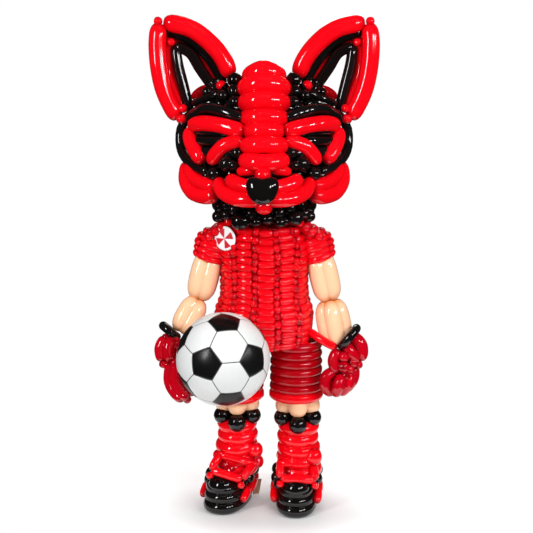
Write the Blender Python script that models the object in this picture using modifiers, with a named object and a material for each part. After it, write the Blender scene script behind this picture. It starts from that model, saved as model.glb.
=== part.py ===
# A life-size fox in football kit, twisted from modelling balloons, with a ball under its right hand.
# Metres, +Z up. The fox looks along -Y, its own left hand is at +X, and it stands on z = 0.
# Points are set out from the axis of the body; the finished figure is then centred over the origin.

import math

import bmesh
import bpy
from mathutils import Matrix, Vector

# Balloons, by the width they are blown to
EAR_BALLOON = 0.068  # the rim and the bow of each ear
FAT_BALLOON = 0.066  # upper eyelids
SNOUT_BALLOON = 0.064  # the stack of loops up the snout
FACE_BALLOON = 0.057  # cheeks, lower lip and the outer eye
LID_BALLOON = 0.052  # lower eyelid
SLIM_BALLOON = 0.042  # black lines of the face and ears, upper lip
GLOVE_BALLOON = 0.038  # fingers and the backs of the gloves
WRIST_BALLOON = 0.032  # the black ring at each wrist, and the tie to the hip
LACE_BALLOON = 0.032  # red frame over each shoe
TWIST_BUBBLE = 0.036  # little bubbles pinched off at a corner
GAP = 0.0004  # what two balloons that press on each other keep between them
PINCH = 0.34  # width left at a twisted end, as a share of the balloon's width
LONG_BALLOON = 3.5  # length over width from which a balloon's ends are rounded
TWIST_LENGTH = 0.004
LOBE_DEPTH = 0.17  # how far the groove between two balloons of a bundle goes in, as a share of its radius

# Heights from the floor up, each set out from what stands below it
SHOE_HEIGHT = 0.132
SOCK_OVER_SHOE = 0.003
SOCK_LENGTH = 0.237
KNEE_BALLS_OVER_SOCK = 0.016  # the middle of the balls over the top of the sock
KNEE_OVER_BALLS = 0.07  # middle over middle
SHORTS_OVER_KNEE = 0.012  # the edge of the shorts over the middle of the knee
SHORTS_LENGTH = 0.25
SHIRT_LENGTH = 0.495
NECK_LENGTH = 0.06
SOCK_BOTTOM = SHOE_HEIGHT + SOCK_OVER_SHOE
SOCK_TOP = SOCK_BOTTOM + SOCK_LENGTH
KNEE_BALLS_HEIGHT = SOCK_TOP + KNEE_BALLS_OVER_SOCK
KNEE_HEIGHT = KNEE_BALLS_HEIGHT + KNEE_OVER_BALLS
SHORTS_BOTTOM = KNEE_HEIGHT + SHORTS_OVER_KNEE
HEM_HEIGHT = SHORTS_BOTTOM + SHORTS_LENGTH
NECK_HEIGHT = HEM_HEIGHT + SHIRT_LENGTH

# Head: one black woven ball, squarer than a true ellipsoid. What lies on it is set out from its middle,
# in shares of its half width, half depth and half height.
HEAD_HALF = Vector((0.285, 0.22, 0.255))
HEAD_BEHIND_AXIS = 0.05
HEAD_CENTRE = Vector((0, HEAD_BEHIND_AXIS, NECK_HEIGHT + NECK_LENGTH + HEAD_HALF.z))
HEAD_SQUARENESS = 2.5
CROWN_LOOP = (-0.773, 1.208, 0.65)  # reach, height and width of the highest snout loop
MUZZLE_LOOP = (-1.545, -0.157, 0.667)  # the same for the lowest
SNOUT_LOOPS = 7
SNOUT_SWELL = 0.07  # how much wider the snout is at the crown
SNOUT_WAIST = 0.098  # how much narrower it is between the eyes
SNOUT_CENTRE = (0, -0.773, -0.412)
SNOUT_HALF = (0.421, 0.727, 0.392)
NOSE_CENTRE = (-0.018, -1.886, -0.553)
NOSE_SIZE = Vector((0.122, 0.072, 0.104))
BRIDGE_CENTRE = (-0.014, -1.614, -0.373)
CHIN_CENTRE = (0, -1.568, -0.843)
CHIN_WIDTH = 0.062

# Shirt: rows of slim balloons wound round the body, widest at the shoulders and the hem
SHIRT_ROWS = 18
SHIRT_WIDTH = 0.404
SHIRT_DEPTH = 0.72  # front to back, as a share of the width
SHIRT_OUTLINE = ((0, 0.95), (0.12, 0.97), (0.28, 1), (0.42, 0.89), (0.62, 0.88), (0.84, 0.94), (1, 0.74))
ROW_SWELL = 0.010
COLLAR_WIDTH = 0.4
COLLAR_DEPTH = 0.84  # front to back, as a share of the width
COLLAR_PRESS = 0.007  # how far the neck is pressed into the shirt and the head
COLLAR_RISE = 0.004  # how far the neck is pressed up round the head
COLLAR_BUBBLES = 9
BADGE_BELOW_NECK = 0.053
BADGE_ROUND_CHEST = math.radians(57)
BADGE_TURN = math.radians(30)
BADGE_LIFT = 0.016  # how far its middle stands off the middle of the rows behind it
BADGE_WIDTH = 0.1
BADGE_THICKNESS = 0.003

# Sleeves and arms, from the shoulder down: each reach is set out for the left side
SHOULDER_INSIDE_SHIRT = 0.006
SHOULDER_BELOW_NECK = 0.015
SLEEVE_REACH = Vector((0.036, 0, -0.138))
UPPER_ARM_REACH = Vector((0.034, -0.02, -0.17))
FOREARM_REACH = {"left": Vector((0.046, -0.02, -0.192)), "right": Vector((0.089, -0.035, -0.127))}
SLEEVE_ROWS = 5
SLEEVE_WIDTH = 0.148
SLEEVE_OUTLINE = ((0, 0.92), (0.5, 1), (0.8, 0.9), (1, 0.49))
ARM_TOP_INSIDE_SLEEVE = 0.03
ARM_BALLOONS = 4
UPPER_ARM_WIDTH = 0.13
FOREARM_WIDTH = 0.138
BUNDLE_SQUARENESS = 0.6  # below 1 keeps the sides of a bundle straight and its ends blunt
WRIST_RING = {  # place as shares of the forearm's width from the wrist, width overall, and the way it faces
    "left": {"place": Vector((0.257, -0.271, 0.393)), "width": 0.124, "faces": Vector((0.77, -0.1, -0.64))},
    "right": {"place": Vector((-0.229, -0.164, 0.107)), "width": 0.094, "faces": Vector((-0.64, -0.1, -0.77))},
}

# Ball: it rests on a point of the open hand, set out in glove balloons from the right wrist
BALL_DIAMETER = 0.36
BALL_TOUCH = Vector((1.47, -4.03, -2.03))
BALL_WAY = Vector((0.772, -0.611, 0.178))  # from there to the middle of the ball
TIE_OVER_HEM = 0.05
TIE_INSIDE_SHIRT = 0.032
TIE_FORWARD = 0.03

# Shorts, knees and socks
LEG_X = {"left": 0.135, "right": -0.115}
SHORTS_RINGS = 7
SHORTS_WIDTH = 0.222
KNEE_BALLOONS = 4
KNEE_LENGTH = 0.112
KNEE_WIDTH = 0.2
KNEE_BALLS = 4
KNEE_BALL = 0.078
KNEE_BALL_RING = 0.214  # the ring of balls under the knee, overall
SOCK_RINGS = 5
SOCK_WIDTH_TOP = 0.156
SOCK_WIDTH_BOTTOM = 0.186

# Shoes: what lies on one is set out from its pivot in shares of its width, length and height
FOOT = {
    "left": {"ankle": Vector((0.141, -0.01, 0)), "pivot": Vector((0.14, -0.01, 0)), "turn": math.radians(-4)},
    "right": {"ankle": Vector((-0.12, 0.02, 0)), "pivot": Vector((-0.143, 0.02, 0)), "turn": math.radians(-18)},
}
SHOE_LENGTH = 0.3
SHOE_WIDTH = 0.176
SOLE_RINGS = 3
HEEL_BEHIND_PIVOT = 0.115
TOE_CAP = Vector((0.12, 0.13, 0.09))
SOLE_SQUASH = 0.006  # the lowest ring is pressed flat by this much on the floor
STRIPE_OUTSIDE = 0.002
LACE_CORNERS = {
    "left": ((-0.37, -0.25, 1.52), (0.39, -0.185, 1.43), (0.44, -0.4, 1.15), (-0.36, -0.433, 1.2)),
    "right": ((-0.01, -0.293, 1.74), (0.585, -0.137, 1.44), (0.54, -0.4, 1.12), (-0.21, -0.453, 1.36)),
}
HEEL_BOARD = Vector((0.012, 0.03, 0.066))
HEEL_BOARD_PLACE = (0.48, 0.33)

# Finish of the balloons: colour and roughness
RED = ((0.80, 0.006, 0.012), 0.12)
DEEP_RED = ((0.46, 0.003, 0.01), 0.14)
BLACK = ((0.008, 0.007, 0.008), 0.08)
SKIN = ((0.93, 0.60, 0.37), 0.2)
WHITE = ((0.86, 0.86, 0.86), 0.25)
CARD = ((0.50, 0.30, 0.16), 0.8)

SIDES = {"left": 1, "right": -1}


def clear_scene():
    for found in list(bpy.data.objects):
        bpy.data.objects.remove(found)


def new_collection(name):
    made = bpy.data.collections.new(name)
    bpy.context.scene.collection.children.link(made)
    return made


def finish_material(name, finish):
    colour, roughness = finish
    material = bpy.data.materials.new(name)
    material.use_nodes = True
    shader = material.node_tree.nodes["Principled BSDF"]
    shader.inputs["Base Color"].default_value = (*colour, 1)
    shader.inputs["Roughness"].default_value = roughness
    shader.inputs["Metallic"].default_value = 0
    return material


def on_side(point, side):
    """A point set out for the fox's left, moved to the side that is asked for."""
    x, y, z = point
    return Vector((SIDES[side] * x, y, z))


def in_shares(shares, sizes):
    return Vector(share * size for share, size in zip(shares, sizes))


def mesh_object(name, mesh, place=Vector()):
    made = bpy.data.objects.new(name, mesh)
    made.location = place
    workshop.objects.link(made)
    return made


def baked(source):
    """The object's evaluated shape as a plain mesh in the same place; the source is removed."""
    bpy.context.view_layer.update()
    seen = source.evaluated_get(bpy.context.evaluated_depsgraph_get())
    mesh = bpy.data.meshes.new_from_object(seen)
    shape = bmesh.new()
    shape.from_mesh(mesh)
    bmesh.ops.remove_doubles(shape, verts=shape.verts, dist=1e-5)
    shape.to_mesh(mesh)
    shape.free()
    name, place = source.name, source.matrix_world.copy()
    bpy.data.objects.remove(source)
    made = mesh_object(name, mesh)
    made.matrix_world = place
    return made


# Paths


def catmull(before, start, end, after, t):
    """The point at t between start and end on the smooth curve through all four."""
    return 0.5 * (
        2 * start
        + (end - before) * t
        + (2 * before - 5 * start + 4 * end - after) * t**2
        + (3 * start - before - 3 * end + after) * t**3
    )


def smooth_path(points, steps=12):
    """Points close together on one smooth curve through the given points."""
    points = [Vector(p) for p in points]
    held = [2 * points[0] - points[1], *points, 2 * points[-1] - points[-2]]
    path = []
    for i in range(1, len(held) - 2):
        path += [catmull(*held[i - 1 : i + 3], step / steps) for step in range(steps)]
    return [*path, points[-1]]


def point_along(path, distance):
    for start, end in zip(path, path[1:]):
        length = (end - start).length
        if distance <= length:
            return start.lerp(end, distance / length)
        distance -= length
    return path[-1]


# Single balloons


def balloon_knots(points, width, spans, pinch):
    """Places along one balloon with its width there: full in the middle, drawn in to a twist at each end."""
    path = smooth_path(points)
    length = sum((b - a).length for a, b in zip(path, path[1:]))
    end = min(width / 2, 0.4 * length)
    knots = [(end + (length - 2 * end) * i / spans, 1) for i in range(spans + 1)]
    if length > LONG_BALLOON * width:
        knots = [(0.3 * end, 0.78), *knots, (length - 0.3 * end, 0.78)]
    knots = [(0, pinch), *knots, (length, pinch)]
    return [(point_along(path, distance), share * width) for distance, share in knots]


def chain(name, balloons, closed=False, spans=2, sides=6, pinch=PINCH):
    """Balloons twisted one after another from one length, each given as its points and width."""
    knots = []
    for points, width in balloons:
        for place, wide in balloon_knots(points, width, spans, pinch):
            if not knots or (place - knots[-1][0]).length > TWIST_LENGTH:
                knots.append((place, wide))
    if closed and (knots[0][0] - knots[-1][0]).length < TWIST_LENGTH:
        knots.pop()
    curve = bpy.data.curves.new(name, "CURVE")
    curve.dimensions = "3D"
    curve.bevel_depth = 0.5
    curve.bevel_resolution = (sides - 4) // 2
    curve.use_fill_caps = True
    spline = curve.splines.new("POLY")
    spline.use_cyclic_u = closed
    spline.points.add(len(knots) - 1)
    middle = sum((place for place, _ in knots), Vector()) / len(knots)
    for knot, (place, wide) in zip(spline.points, knots):
        knot.co = (*(place - middle), 1)
        knot.radius = wide
    return baked(mesh_object(name, curve, middle))


def sausage(name, points, width, spans=2, sides=6, pinch=PINCH):
    return chain(name, [(points, width)], False, spans, sides, pinch)


def ball_shape(segments, rings):
    """A ball one unit across."""
    shape = bmesh.new()
    bmesh.ops.create_uvsphere(shape, u_segments=segments, v_segments=rings, radius=0.5)
    return shape


def shape_object(name, shape, place):
    mesh = bpy.data.meshes.new(name)
    shape.to_mesh(mesh)
    shape.free()
    return mesh_object(name, mesh, place)


def bubble(name, centre, size, segments=8, rings=6):
    """A round balloon, or an oval one where size is three widths."""
    shape = ball_shape(segments, rings)
    widths = size if isinstance(size, Vector) else Vector((size,) * 3)
    bmesh.ops.scale(shape, vec=widths, verts=shape.verts)
    return shape_object(name, shape, centre)


def ring_balloon(name, centre, width, tube, faces):
    """A balloon closed into a ring of that overall width, its axis along faces."""
    bpy.ops.mesh.primitive_torus_add(
        major_radius=(width - tube) / 2,
        minor_radius=tube / 2,
        major_segments=10,
        minor_segments=6,
        location=centre,
        rotation=faces.to_track_quat("Z", "Y").to_euler(),
    )
    made = bpy.context.object
    made.name = name
    for home in made.users_collection:
        home.objects.unlink(made)
    workshop.objects.link(made)
    return made


def ringed_solid(name, outline, rings, swell, bottom, top, depth=1.0, steps=8):
    """Rings stacked from bottom to top; outline gives (share of height, radius) and each ring swells past it."""
    axis = top - bottom
    height = axis.length
    profile = [(0, height)]
    for i in range(2 * rings, -1, -1):
        share = i / (2 * rings)
        radius = outline_radius(outline, share) + (swell / 2 if i % 2 else -swell / 2)
        profile.append((radius, height * share))
    profile.append((0, 0))
    mesh = bpy.data.meshes.new(name)
    mesh.from_pydata([(x, 0, z) for x, z in profile], [(i, i + 1) for i in range(len(profile) - 1)], [])
    made = mesh_object(name, mesh, bottom)
    turned = made.modifiers.new("turned", "SCREW")
    turned.steps = turned.render_steps = steps
    turned.use_merge_vertices = True
    turned.merge_threshold = 0.0001
    made = baked(made)
    made.data.transform(Matrix.Diagonal((1, depth, 1, 1)))
    made.rotation_euler = axis.to_track_quat("Z", "Y").to_euler()
    return made


def outline_radius(outline, share):
    for (low, start), (high, end) in zip(outline, outline[1:]):
        if share <= high:
            return start + (end - start) * (share - low) / (high - low)
    return outline[-1][1]


def widened(outline, width):
    """An outline given as shares of a width, as radii."""
    return tuple((share, wide * width / 2) for share, wide in outline)


# Joining balloons and pressing them together


def fused(name, shapes):
    """Balloons twisted from one length, joined where they touch."""
    first, *others = shapes
    for other in others:
        join = first.modifiers.new("join", "BOOLEAN")
        join.operation = "UNION"
        join.object = other
    made = baked(first)
    for other in others:
        bpy.data.objects.remove(other)
    made.name = name
    return made


def bounds(obj):
    corners = [obj.matrix_world @ Vector(corner) for corner in obj.bound_box]
    low = Vector(min(c[i] for c in corners) for i in range(3))
    high = Vector(max(c[i] for c in corners) for i in range(3))
    return low, high


def near(first, second):
    (low_a, high_a), (low_b, high_b) = bounds(first), bounds(second)
    return all(low_a[i] < high_b[i] + GAP and low_b[i] < high_a[i] + GAP for i in range(3))


def swollen(obj):
    """A copy grown by the gap, which leaves room round a balloon for its neighbour."""
    mesh = obj.data.copy()
    shape = bmesh.new()
    shape.from_mesh(mesh)
    shape.normal_update()
    for vertex, normal in [(v, v.normal.copy()) for v in shape.verts]:
        vertex.co += normal * GAP
    shape.to_mesh(mesh)
    shape.free()
    made = bpy.data.objects.new(obj.name + "_room", mesh)
    made.matrix_world = obj.matrix_world.copy()
    made.hide_render = True
    made.display_type = "WIRE"
    cutters.objects.link(made)
    return made


def islands(shape):
    left = set(shape.verts)
    while left:
        found, edge = set(), [left.pop()]
        while edge:
            vertex = edge.pop()
            found.add(vertex)
            fresh = {e.other_vert(vertex) for e in vertex.link_edges} & left
            left -= fresh
            edge += fresh
        yield found


def drop_offcuts(obj):
    """Keeps only the largest piece of a mesh that a neighbour has cut through."""
    shape = bmesh.new()
    shape.from_mesh(obj.data)
    parts = sorted(islands(shape), key=len)
    loose = [vertex for part in parts[:-1] for vertex in part]
    bmesh.ops.delete(shape, geom=loose, context="VERTS")
    shape.to_mesh(obj.data)
    shape.free()


def press_together(balloons):
    """Each balloon is pressed flat where it meets one that was laid before it."""
    bpy.context.view_layer.update()
    rooms = {b.name: swollen(b) for b in balloons}
    bpy.context.view_layer.update()
    for i, balloon in enumerate(balloons):
        for earlier in balloons[:i]:
            if near(balloon, rooms[earlier.name]):
                cut = balloon.modifiers.new("press", "BOOLEAN")
                cut.operation = "DIFFERENCE"
                cut.object = rooms[earlier.name]
    pressed = [baked(b) for b in balloons]
    for obj in pressed:
        drop_offcuts(obj)
    return pressed


def stand_on_floor(obj):
    """Cuts off what the floor presses flat."""
    shape = bmesh.new()
    shape.from_mesh(obj.data)
    shape.transform(obj.matrix_world)
    geometry = [*shape.verts, *shape.edges, *shape.faces]
    floor, up = (0, 0, 0), (0, 0, 1)
    cut = bmesh.ops.bisect_plane(shape, geom=geometry, plane_co=floor, plane_no=up, clear_inner=True)
    rim = [e for e in cut["geom_cut"] if isinstance(e, bmesh.types.BMEdge)]
    bmesh.ops.edgeloop_fill(shape, edges=rim)
    bmesh.ops.recalc_face_normals(shape, faces=shape.faces)
    obj.matrix_world = Matrix.Identity(4)
    shape.to_mesh(obj.data)
    shape.free()
    return obj


# Head


def on_head(shares):
    """A point given as shares of the head's half sizes, from the middle of the head."""
    return HEAD_CENTRE + in_shares(shares, HEAD_HALF)


def off_head(points, width):
    """Moves a balloon's points straight out from the middle of the head to where the balloon lies on it."""
    reach = HEAD_HALF + Vector((width / 2 + GAP,) * 3)
    placed = []
    for point in points:
        way = point - HEAD_CENTRE
        depth = sum(abs(way[i] / reach[i]) ** HEAD_SQUARENESS for i in range(3))
        placed.append(HEAD_CENTRE + way * max(1, depth ** (-1 / HEAD_SQUARENESS)))
    return placed


def laid_on_head(points, width, side):
    return off_head([on_head(on_side(p, side)) for p in points], width)


def head_core():
    """The woven ball of the head with the woven snout that grows out of it."""
    skull = ball_shape(12, 9)
    for vertex in skull.verts:
        way = vertex.co.normalized()
        reach = sum(abs(c) ** HEAD_SQUARENESS for c in way) ** (-1 / HEAD_SQUARENESS)
        vertex.co = in_shares(way * reach, HEAD_HALF)
    head = shape_object("head_core", skull, HEAD_CENTRE)
    snout_size = 2 * in_shares(SNOUT_HALF, HEAD_HALF)
    return fused("head_core", [head, bubble("snout", on_head(SNOUT_CENTRE), snout_size, segments=10, rings=8)])


def snout_loops():
    """A stack of loops, each bent back to the head at its ends, from the crown down to the muzzle."""
    made = []
    for i in range(SNOUT_LOOPS):
        share = i / (SNOUT_LOOPS - 1)
        reach, height, wide = (a + (b - a) * share for a, b in zip(CROWN_LOOP, MUZZLE_LOOP))
        wide += SNOUT_SWELL * math.sin(math.pi * min(2 * share, 1))
        wide -= SNOUT_WAIST * math.sin(math.pi * share**1.6)
        half = wide / 2 - SNOUT_BALLOON / HEAD_HALF.x / 2
        bend = [(-half, 0.34 + 0.14 * share), (-half - 0.042, 0.205), (-0.6 * half, 0.018)]
        bend += [(0, 0), *((-x, back) for x, back in bend[::-1])]
        points = off_head([on_head((x, reach + back, height)) for x, back in bend], SNOUT_BALLOON)
        made.append(sausage(f"snout_loop_{i + 1}", points, SNOUT_BALLOON, spans=4))
    return made


def nose():
    """A heart balloon: two low lobes above, one round point below."""
    shape = ball_shape(10, 7)
    for vertex in shape.verts:
        x, y, z = vertex.co * 2
        lobes = 0.88 * z + 0.38 * math.hypot(x, 0.1) - 0.15
        vertex.co = Vector((x * (1 + 0.2 * z), y, lobes)) / 2
    bmesh.ops.scale(shape, vec=NOSE_SIZE, verts=shape.verts)
    return shape_object("nose", shape, on_head(NOSE_CENTRE))


def eye(side):
    """One length twisted into a three-sided frame round the eye."""
    upper = ((0.298, -1.182, 0.275), (0.579, -1, 0.337), (0.825, -0.773, 0.353), (1, -0.455, 0.29))
    outer = ((1.01, -0.455, 0.27), (1, -0.591, 0.102), (0.93, -0.727, -0.078), (0.834, -0.818, -0.2))
    lower = ((0.765, -0.909, -0.228), (0.691, -1, -0.094), (0.551, -1.091, 0.045), (0.298, -1.182, 0.135))
    lids = ((upper, FAT_BALLOON), (outer, FACE_BALLOON), (lower, LID_BALLOON))
    return chain(f"eye_frame_{side}", [(laid_on_head(p, width, side), width) for p, width in lids], closed=True)


def face_line(side):
    """The black brow over the eye, and the black line that runs on round it to the cheek."""
    brow = ((0.298, -0.864, 0.569), (0.621, -0.682, 0.604), (0.919, -0.409, 0.573), (1.13, -0.136, 0.431))
    edge = (brow[-1], (1.204, -0.091, 0.235), (1.2, -0.136, -0.02), (1.105, -0.364, -0.204))
    edge += ((0.94, -0.636, -0.322), (0.789, -0.818, -0.361))
    lines = ((brow, SLIM_BALLOON), (edge, 0.9 * SLIM_BALLOON))
    return chain(f"face_line_{side}", [(laid_on_head(p, width, side), width) for p, width in lines])


def cheek(side):
    """One length folded into two bows, a big one below and a smaller one inside it."""
    big = ((0.66, -1, -0.74), (0.839, -0.79, -0.782), (1.02, -0.6, -0.71), (1.11, -0.4, -0.52))
    big += ((1.1, -0.23, -0.275),)
    small = ((1.08, -0.3, -0.29), (0.98, -0.591, -0.48), (0.839, -0.8, -0.55), (0.667, -0.95, -0.56))
    bows = ((big, 1.1 * FACE_BALLOON), (small, 0.95 * FACE_BALLOON))
    return fused(f"cheek_{side}", [sausage("bow", laid_on_head(p, width, side), width) for p, width in bows])


def muzzle():
    """Both lower lips and shorter upper lips, which meet under the nose at the chin bubble."""
    lower = ((0.66, -0.95, -0.52), (0.6, -1.136, -0.655), (0.46, -1.4, -0.73), (0.035, -1.61, -0.76))
    upper = ((0.53, -1.1, -0.42), (0.365, -1.41, -0.5), (0.042, -1.591, -0.57))
    lips = [bubble("chin", on_head(CHIN_CENTRE), CHIN_WIDTH)]
    for side in SIDES:
        for points, width in ((lower, FACE_BALLOON), (upper, 1.1 * SLIM_BALLOON)):
            lips.append(sausage("lip", laid_on_head(points, width, side), width))
    return fused("muzzle", lips)


def snout_side(side):
    """Black bubbles in the hollow between the snout and the cheek, each with its share of the chin's width."""
    row = (((0.691, -0.932, -0.392), 0.9), ((0.509, -1.091, -0.227), 1.03), ((0.368, -1.136, -0.059), 0.8))
    dark = []
    for point, share in row:
        width = share * CHIN_WIDTH
        dark.append(bubble("dark", laid_on_head([point], width, side)[0], width, segments=6, rings=5))
    return fused(f"snout_side_{side}", dark)


def ear(side):
    """An outer rim of two long balloons, a black lining behind it, and a black loop in front of a red back."""
    rim = ((1.491, -0.136, 1.89), (1.509, -0.136, 1.588), (1.488, -0.136, 1.2), (1.414, -0.136, 0.831))
    rim += ((1.235, -0.136, 0.424),)
    bow = ((1.411, -0.136, 1.953), (1.27, -0.136, 1.922), (1.004, -0.136, 1.835), (0.747, -0.136, 1.616))
    bow += ((0.572, -0.114, 1.361), (0.463, -0.091, 1.059))
    lining = ((1.368, 0.036, 1.745), (1.154, 0.045, 1.71), (0.968, 0.045, 1.596), (0.754, 0.045, 1.333))
    lining += ((0.579, 0.045, 1),)
    inner = ((1.053, 0, 0.608), (1.147, 0, 1.063), (1.218, 0, 1.322), (1.256, 0, 1.569))
    outer = ((1.256, 0, 1.569), (1.06, 0, 1.467), (0.919, 0, 1.22), (0.737, 0, 0.922))
    back_rim = ((1.361, 0.114, 1.569), (1.347, 0.114, 1.2), (1.263, 0.091, 0.886), (1.13, 0.045, 0.569))
    back_bow = ((1.333, 0.182, 1.627), (1.126, 0.205, 1.6), (0.926, 0.205, 1.42), (0.614, 0.136, 0.922))
    tip = bubble("tip", on_head(on_side((1.495, -0.136, 1.984), side)), TWIST_BUBBLE, segments=6, rings=5)

    def along(name, points, width, spans=3):
        return sausage(name, laid_on_head(points, width, side), width, spans)

    back = [along("rim", back_rim, 1.1 * SLIM_BALLOON), along("bow", back_bow, 1.1 * SLIM_BALLOON)]
    return [
        fused(f"ear_rim_{side}", [along("rim", rim, EAR_BALLOON, spans=4), tip]),
        along(f"ear_bow_{side}", bow, EAR_BALLOON, spans=4),
        along(f"ear_lining_{side}", lining, SLIM_BALLOON),
        fused(f"ear_loop_{side}", [along("inner", inner, SLIM_BALLOON), along("outer", outer, SLIM_BALLOON)]),
        fused(f"ear_back_{side}", back),
    ]


# Body


def grooves(turn, count):
    """Share of the full radius at that angle: one groove between each two of count balloons."""
    return 1 - LOBE_DEPTH * abs(math.cos(count * turn / 2)) ** 4


def bundle(name, start, end, width, count, rings=5, per_balloon=3):
    """Balloons side by side along an axis, in one outline with a groove between each two."""
    axis = end - start
    shape = ball_shape(per_balloon * count, rings)
    for vertex in shape.verts:
        x, y, z = vertex.co * 2
        across = math.hypot(x, y)
        out = across**BUNDLE_SQUARENESS * grooves(math.atan2(y, x), count) / max(across, 1e-9)
        vertex.co = Vector((x * out * width, y * out * width, z * axis.length)) / 2
    made = shape_object(name, shape, start.lerp(end, 0.5))
    made.rotation_euler = axis.to_track_quat("Z", "Y").to_euler()
    return made


def collar():
    """Round black balloons packed into a neck, which the head sits on."""
    centre = Vector((0, 0, NECK_HEIGHT + NECK_LENGTH / 2 + COLLAR_RISE))
    half = Vector((0, 0, NECK_LENGTH / 2 + COLLAR_PRESS))
    made = bundle("collar", centre - half, centre + half, COLLAR_WIDTH, COLLAR_BUBBLES, per_balloon=2)
    made.data.transform(Matrix.Diagonal((1, COLLAR_DEPTH, 1, 1)))
    return made


def shirt():
    outline = widened(SHIRT_OUTLINE, SHIRT_WIDTH)
    bottom, top = Vector((0, 0, HEM_HEIGHT)), Vector((0, 0, NECK_HEIGHT))
    return ringed_solid("shirt", outline, SHIRT_ROWS, ROW_SWELL, bottom, top, SHIRT_DEPTH)


def arm_points(side):
    """Shoulder, cuff, elbow and wrist."""
    shoulder = Vector((SHIRT_WIDTH / 2 - SHOULDER_INSIDE_SHIRT, 0, NECK_HEIGHT - SHOULDER_BELOW_NECK))
    cuff = shoulder + SLEEVE_REACH
    elbow = cuff + UPPER_ARM_REACH
    return [on_side(p, side) for p in (shoulder, cuff, elbow, elbow + FOREARM_REACH[side])]


def wrist_place(side):
    return arm_points(side)[-1]


def sleeve(side):
    shoulder, cuff = arm_points(side)[:2]
    outline = widened(SLEEVE_OUTLINE, SLEEVE_WIDTH)
    return ringed_solid(f"sleeve_{side}", outline, SLEEVE_ROWS, ROW_SWELL, cuff, shoulder)


def arm(side):
    """Upper arm and forearm, each a bundle of balloons side by side."""
    shoulder, cuff, elbow, wrist = arm_points(side)
    top = cuff + (shoulder - cuff).normalized() * ARM_TOP_INSIDE_SLEEVE
    return [
        bundle(f"upper_arm_{side}", top, elbow, UPPER_ARM_WIDTH, ARM_BALLOONS),
        bundle(f"forearm_{side}", elbow, wrist, FOREARM_WIDTH, ARM_BALLOONS),
    ]


def wrist_ring(side):
    ring = WRIST_RING[side]
    centre = wrist_place(side) + FOREARM_WIDTH * ring["place"]
    return ring_balloon(f"wrist_{side}", centre, ring["width"], WRIST_BALLOON, ring["faces"])


def ball_centre():
    return wrist_place("right") + GLOVE_BALLOON * BALL_TOUCH + BALL_WAY.normalized() * BALL_DIAMETER / 2


def off_ball(points):
    """Moves a finger's points out to where the finger lies on the ball."""
    centre = ball_centre()
    clear = (BALL_DIAMETER + GLOVE_BALLOON) / 2
    ways = [point - centre for point in points]
    return [centre + way.normalized() * max(way.length, clear) for way in ways]


def in_glove(points, side):
    """Points of a hand, set out in glove balloons from the wrist."""
    return [wrist_place(side) + GLOVE_BALLOON * Vector(p) for p in points]


def glove_left():
    """A loose fist: thumb, the back of the hand, and curled fingers, round a bunch of bubbles in the palm."""
    long_ones = (
        ((-0.24, -1.58, 0), (-0.71, -1.58, -1.16), (-0.32, -1.84, -2.42)),
        ((0.55, -1.32, 0.58), (1.21, -1.58, -0.29), (2, -1.32, -1.18)),
        ((1.32, -0.92, 1.32), (2.16, -1.05, 0.37), (2.63, -0.79, -1.26)),
        ((-0.71, -1.58, -2.16), (-1.68, -2.11, -2.95), (-1.63, -1.97, -4.08), (-0.71, -1.45, -4.95)),
        ((0.26, -1.97, -2.45), (-0.11, -2.76, -3.53), (-0.53, -2.11, -5)),
        ((1.32, -1.32, -2.32), (1, -1.84, -3.61), (0.21, -1.32, -5)),
    )
    tubes = [sausage("tube", in_glove(points, "left"), GLOVE_BALLOON, spans=1) for points in long_ones]
    palm_size = GLOVE_BALLOON * Vector((2.47, 1.32, 2.37))
    palm = bubble("palm", in_glove([(0.61, -1.58, -1.58)], "left")[0], palm_size, segments=6, rings=5)
    return fused("glove_left", [palm, *tubes])


def glove_right():
    """An open hand against the ball: the back of the hand, and long fingers that reach under the ball."""
    long_ones = (
        ((-1.63, -1.71, 0), (-1.92, -1.97, -1.29), (-1.18, -2.5, -2.76)),
        ((-0.92, -1.97, 0.08), (-0.95, -2.5, -1.21), (-0.87, -2.5, -2.76)),
        ((-0.97, -2.76, -2.45), (-1.05, -3.82, -4.34), (-0.34, -4.74, -5.61), (0.66, -5.53, -6.11)),
        ((-0.29, -2.5, -2.45), (-0.18, -4.34, -4.26), (0.66, -5.53, -5.34), (1.5, -6.18, -5.66)),
        ((-0.45, -1.71, -2.45), (0.26, -2.89, -4.34), (1.18, -3.82, -5.26), (1.97, -4.74, -5.61)),
    )
    paths = [off_ball(in_glove(points, "right")) for points in long_ones]
    tubes = [sausage("tube", path, GLOVE_BALLOON, spans=1) for path in paths]
    palm_place = off_ball(in_glove([(-0.79, -2.24, -2.55)], "right"))[0]
    palm = bubble("palm", palm_place, 1.3 * GLOVE_BALLOON, segments=6, rings=5)
    return fused("glove_right", [palm, *tubes])


def hip_tie():
    """A slack balloon from the hip to the left glove."""
    start = Vector((SHIRT_WIDTH / 2 - TIE_INSIDE_SHIRT, -TIE_FORWARD, HEM_HEIGHT + TIE_OVER_HEM))
    end = in_glove([(0.08, -0.92, 0.32)], "left")[0]
    slack = WRIST_BALLOON * Vector((-0.2, 0.2, 0.2))
    return sausage("hip_tie", (start, start.lerp(end, 0.5) + slack, end), WRIST_BALLOON)


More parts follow.
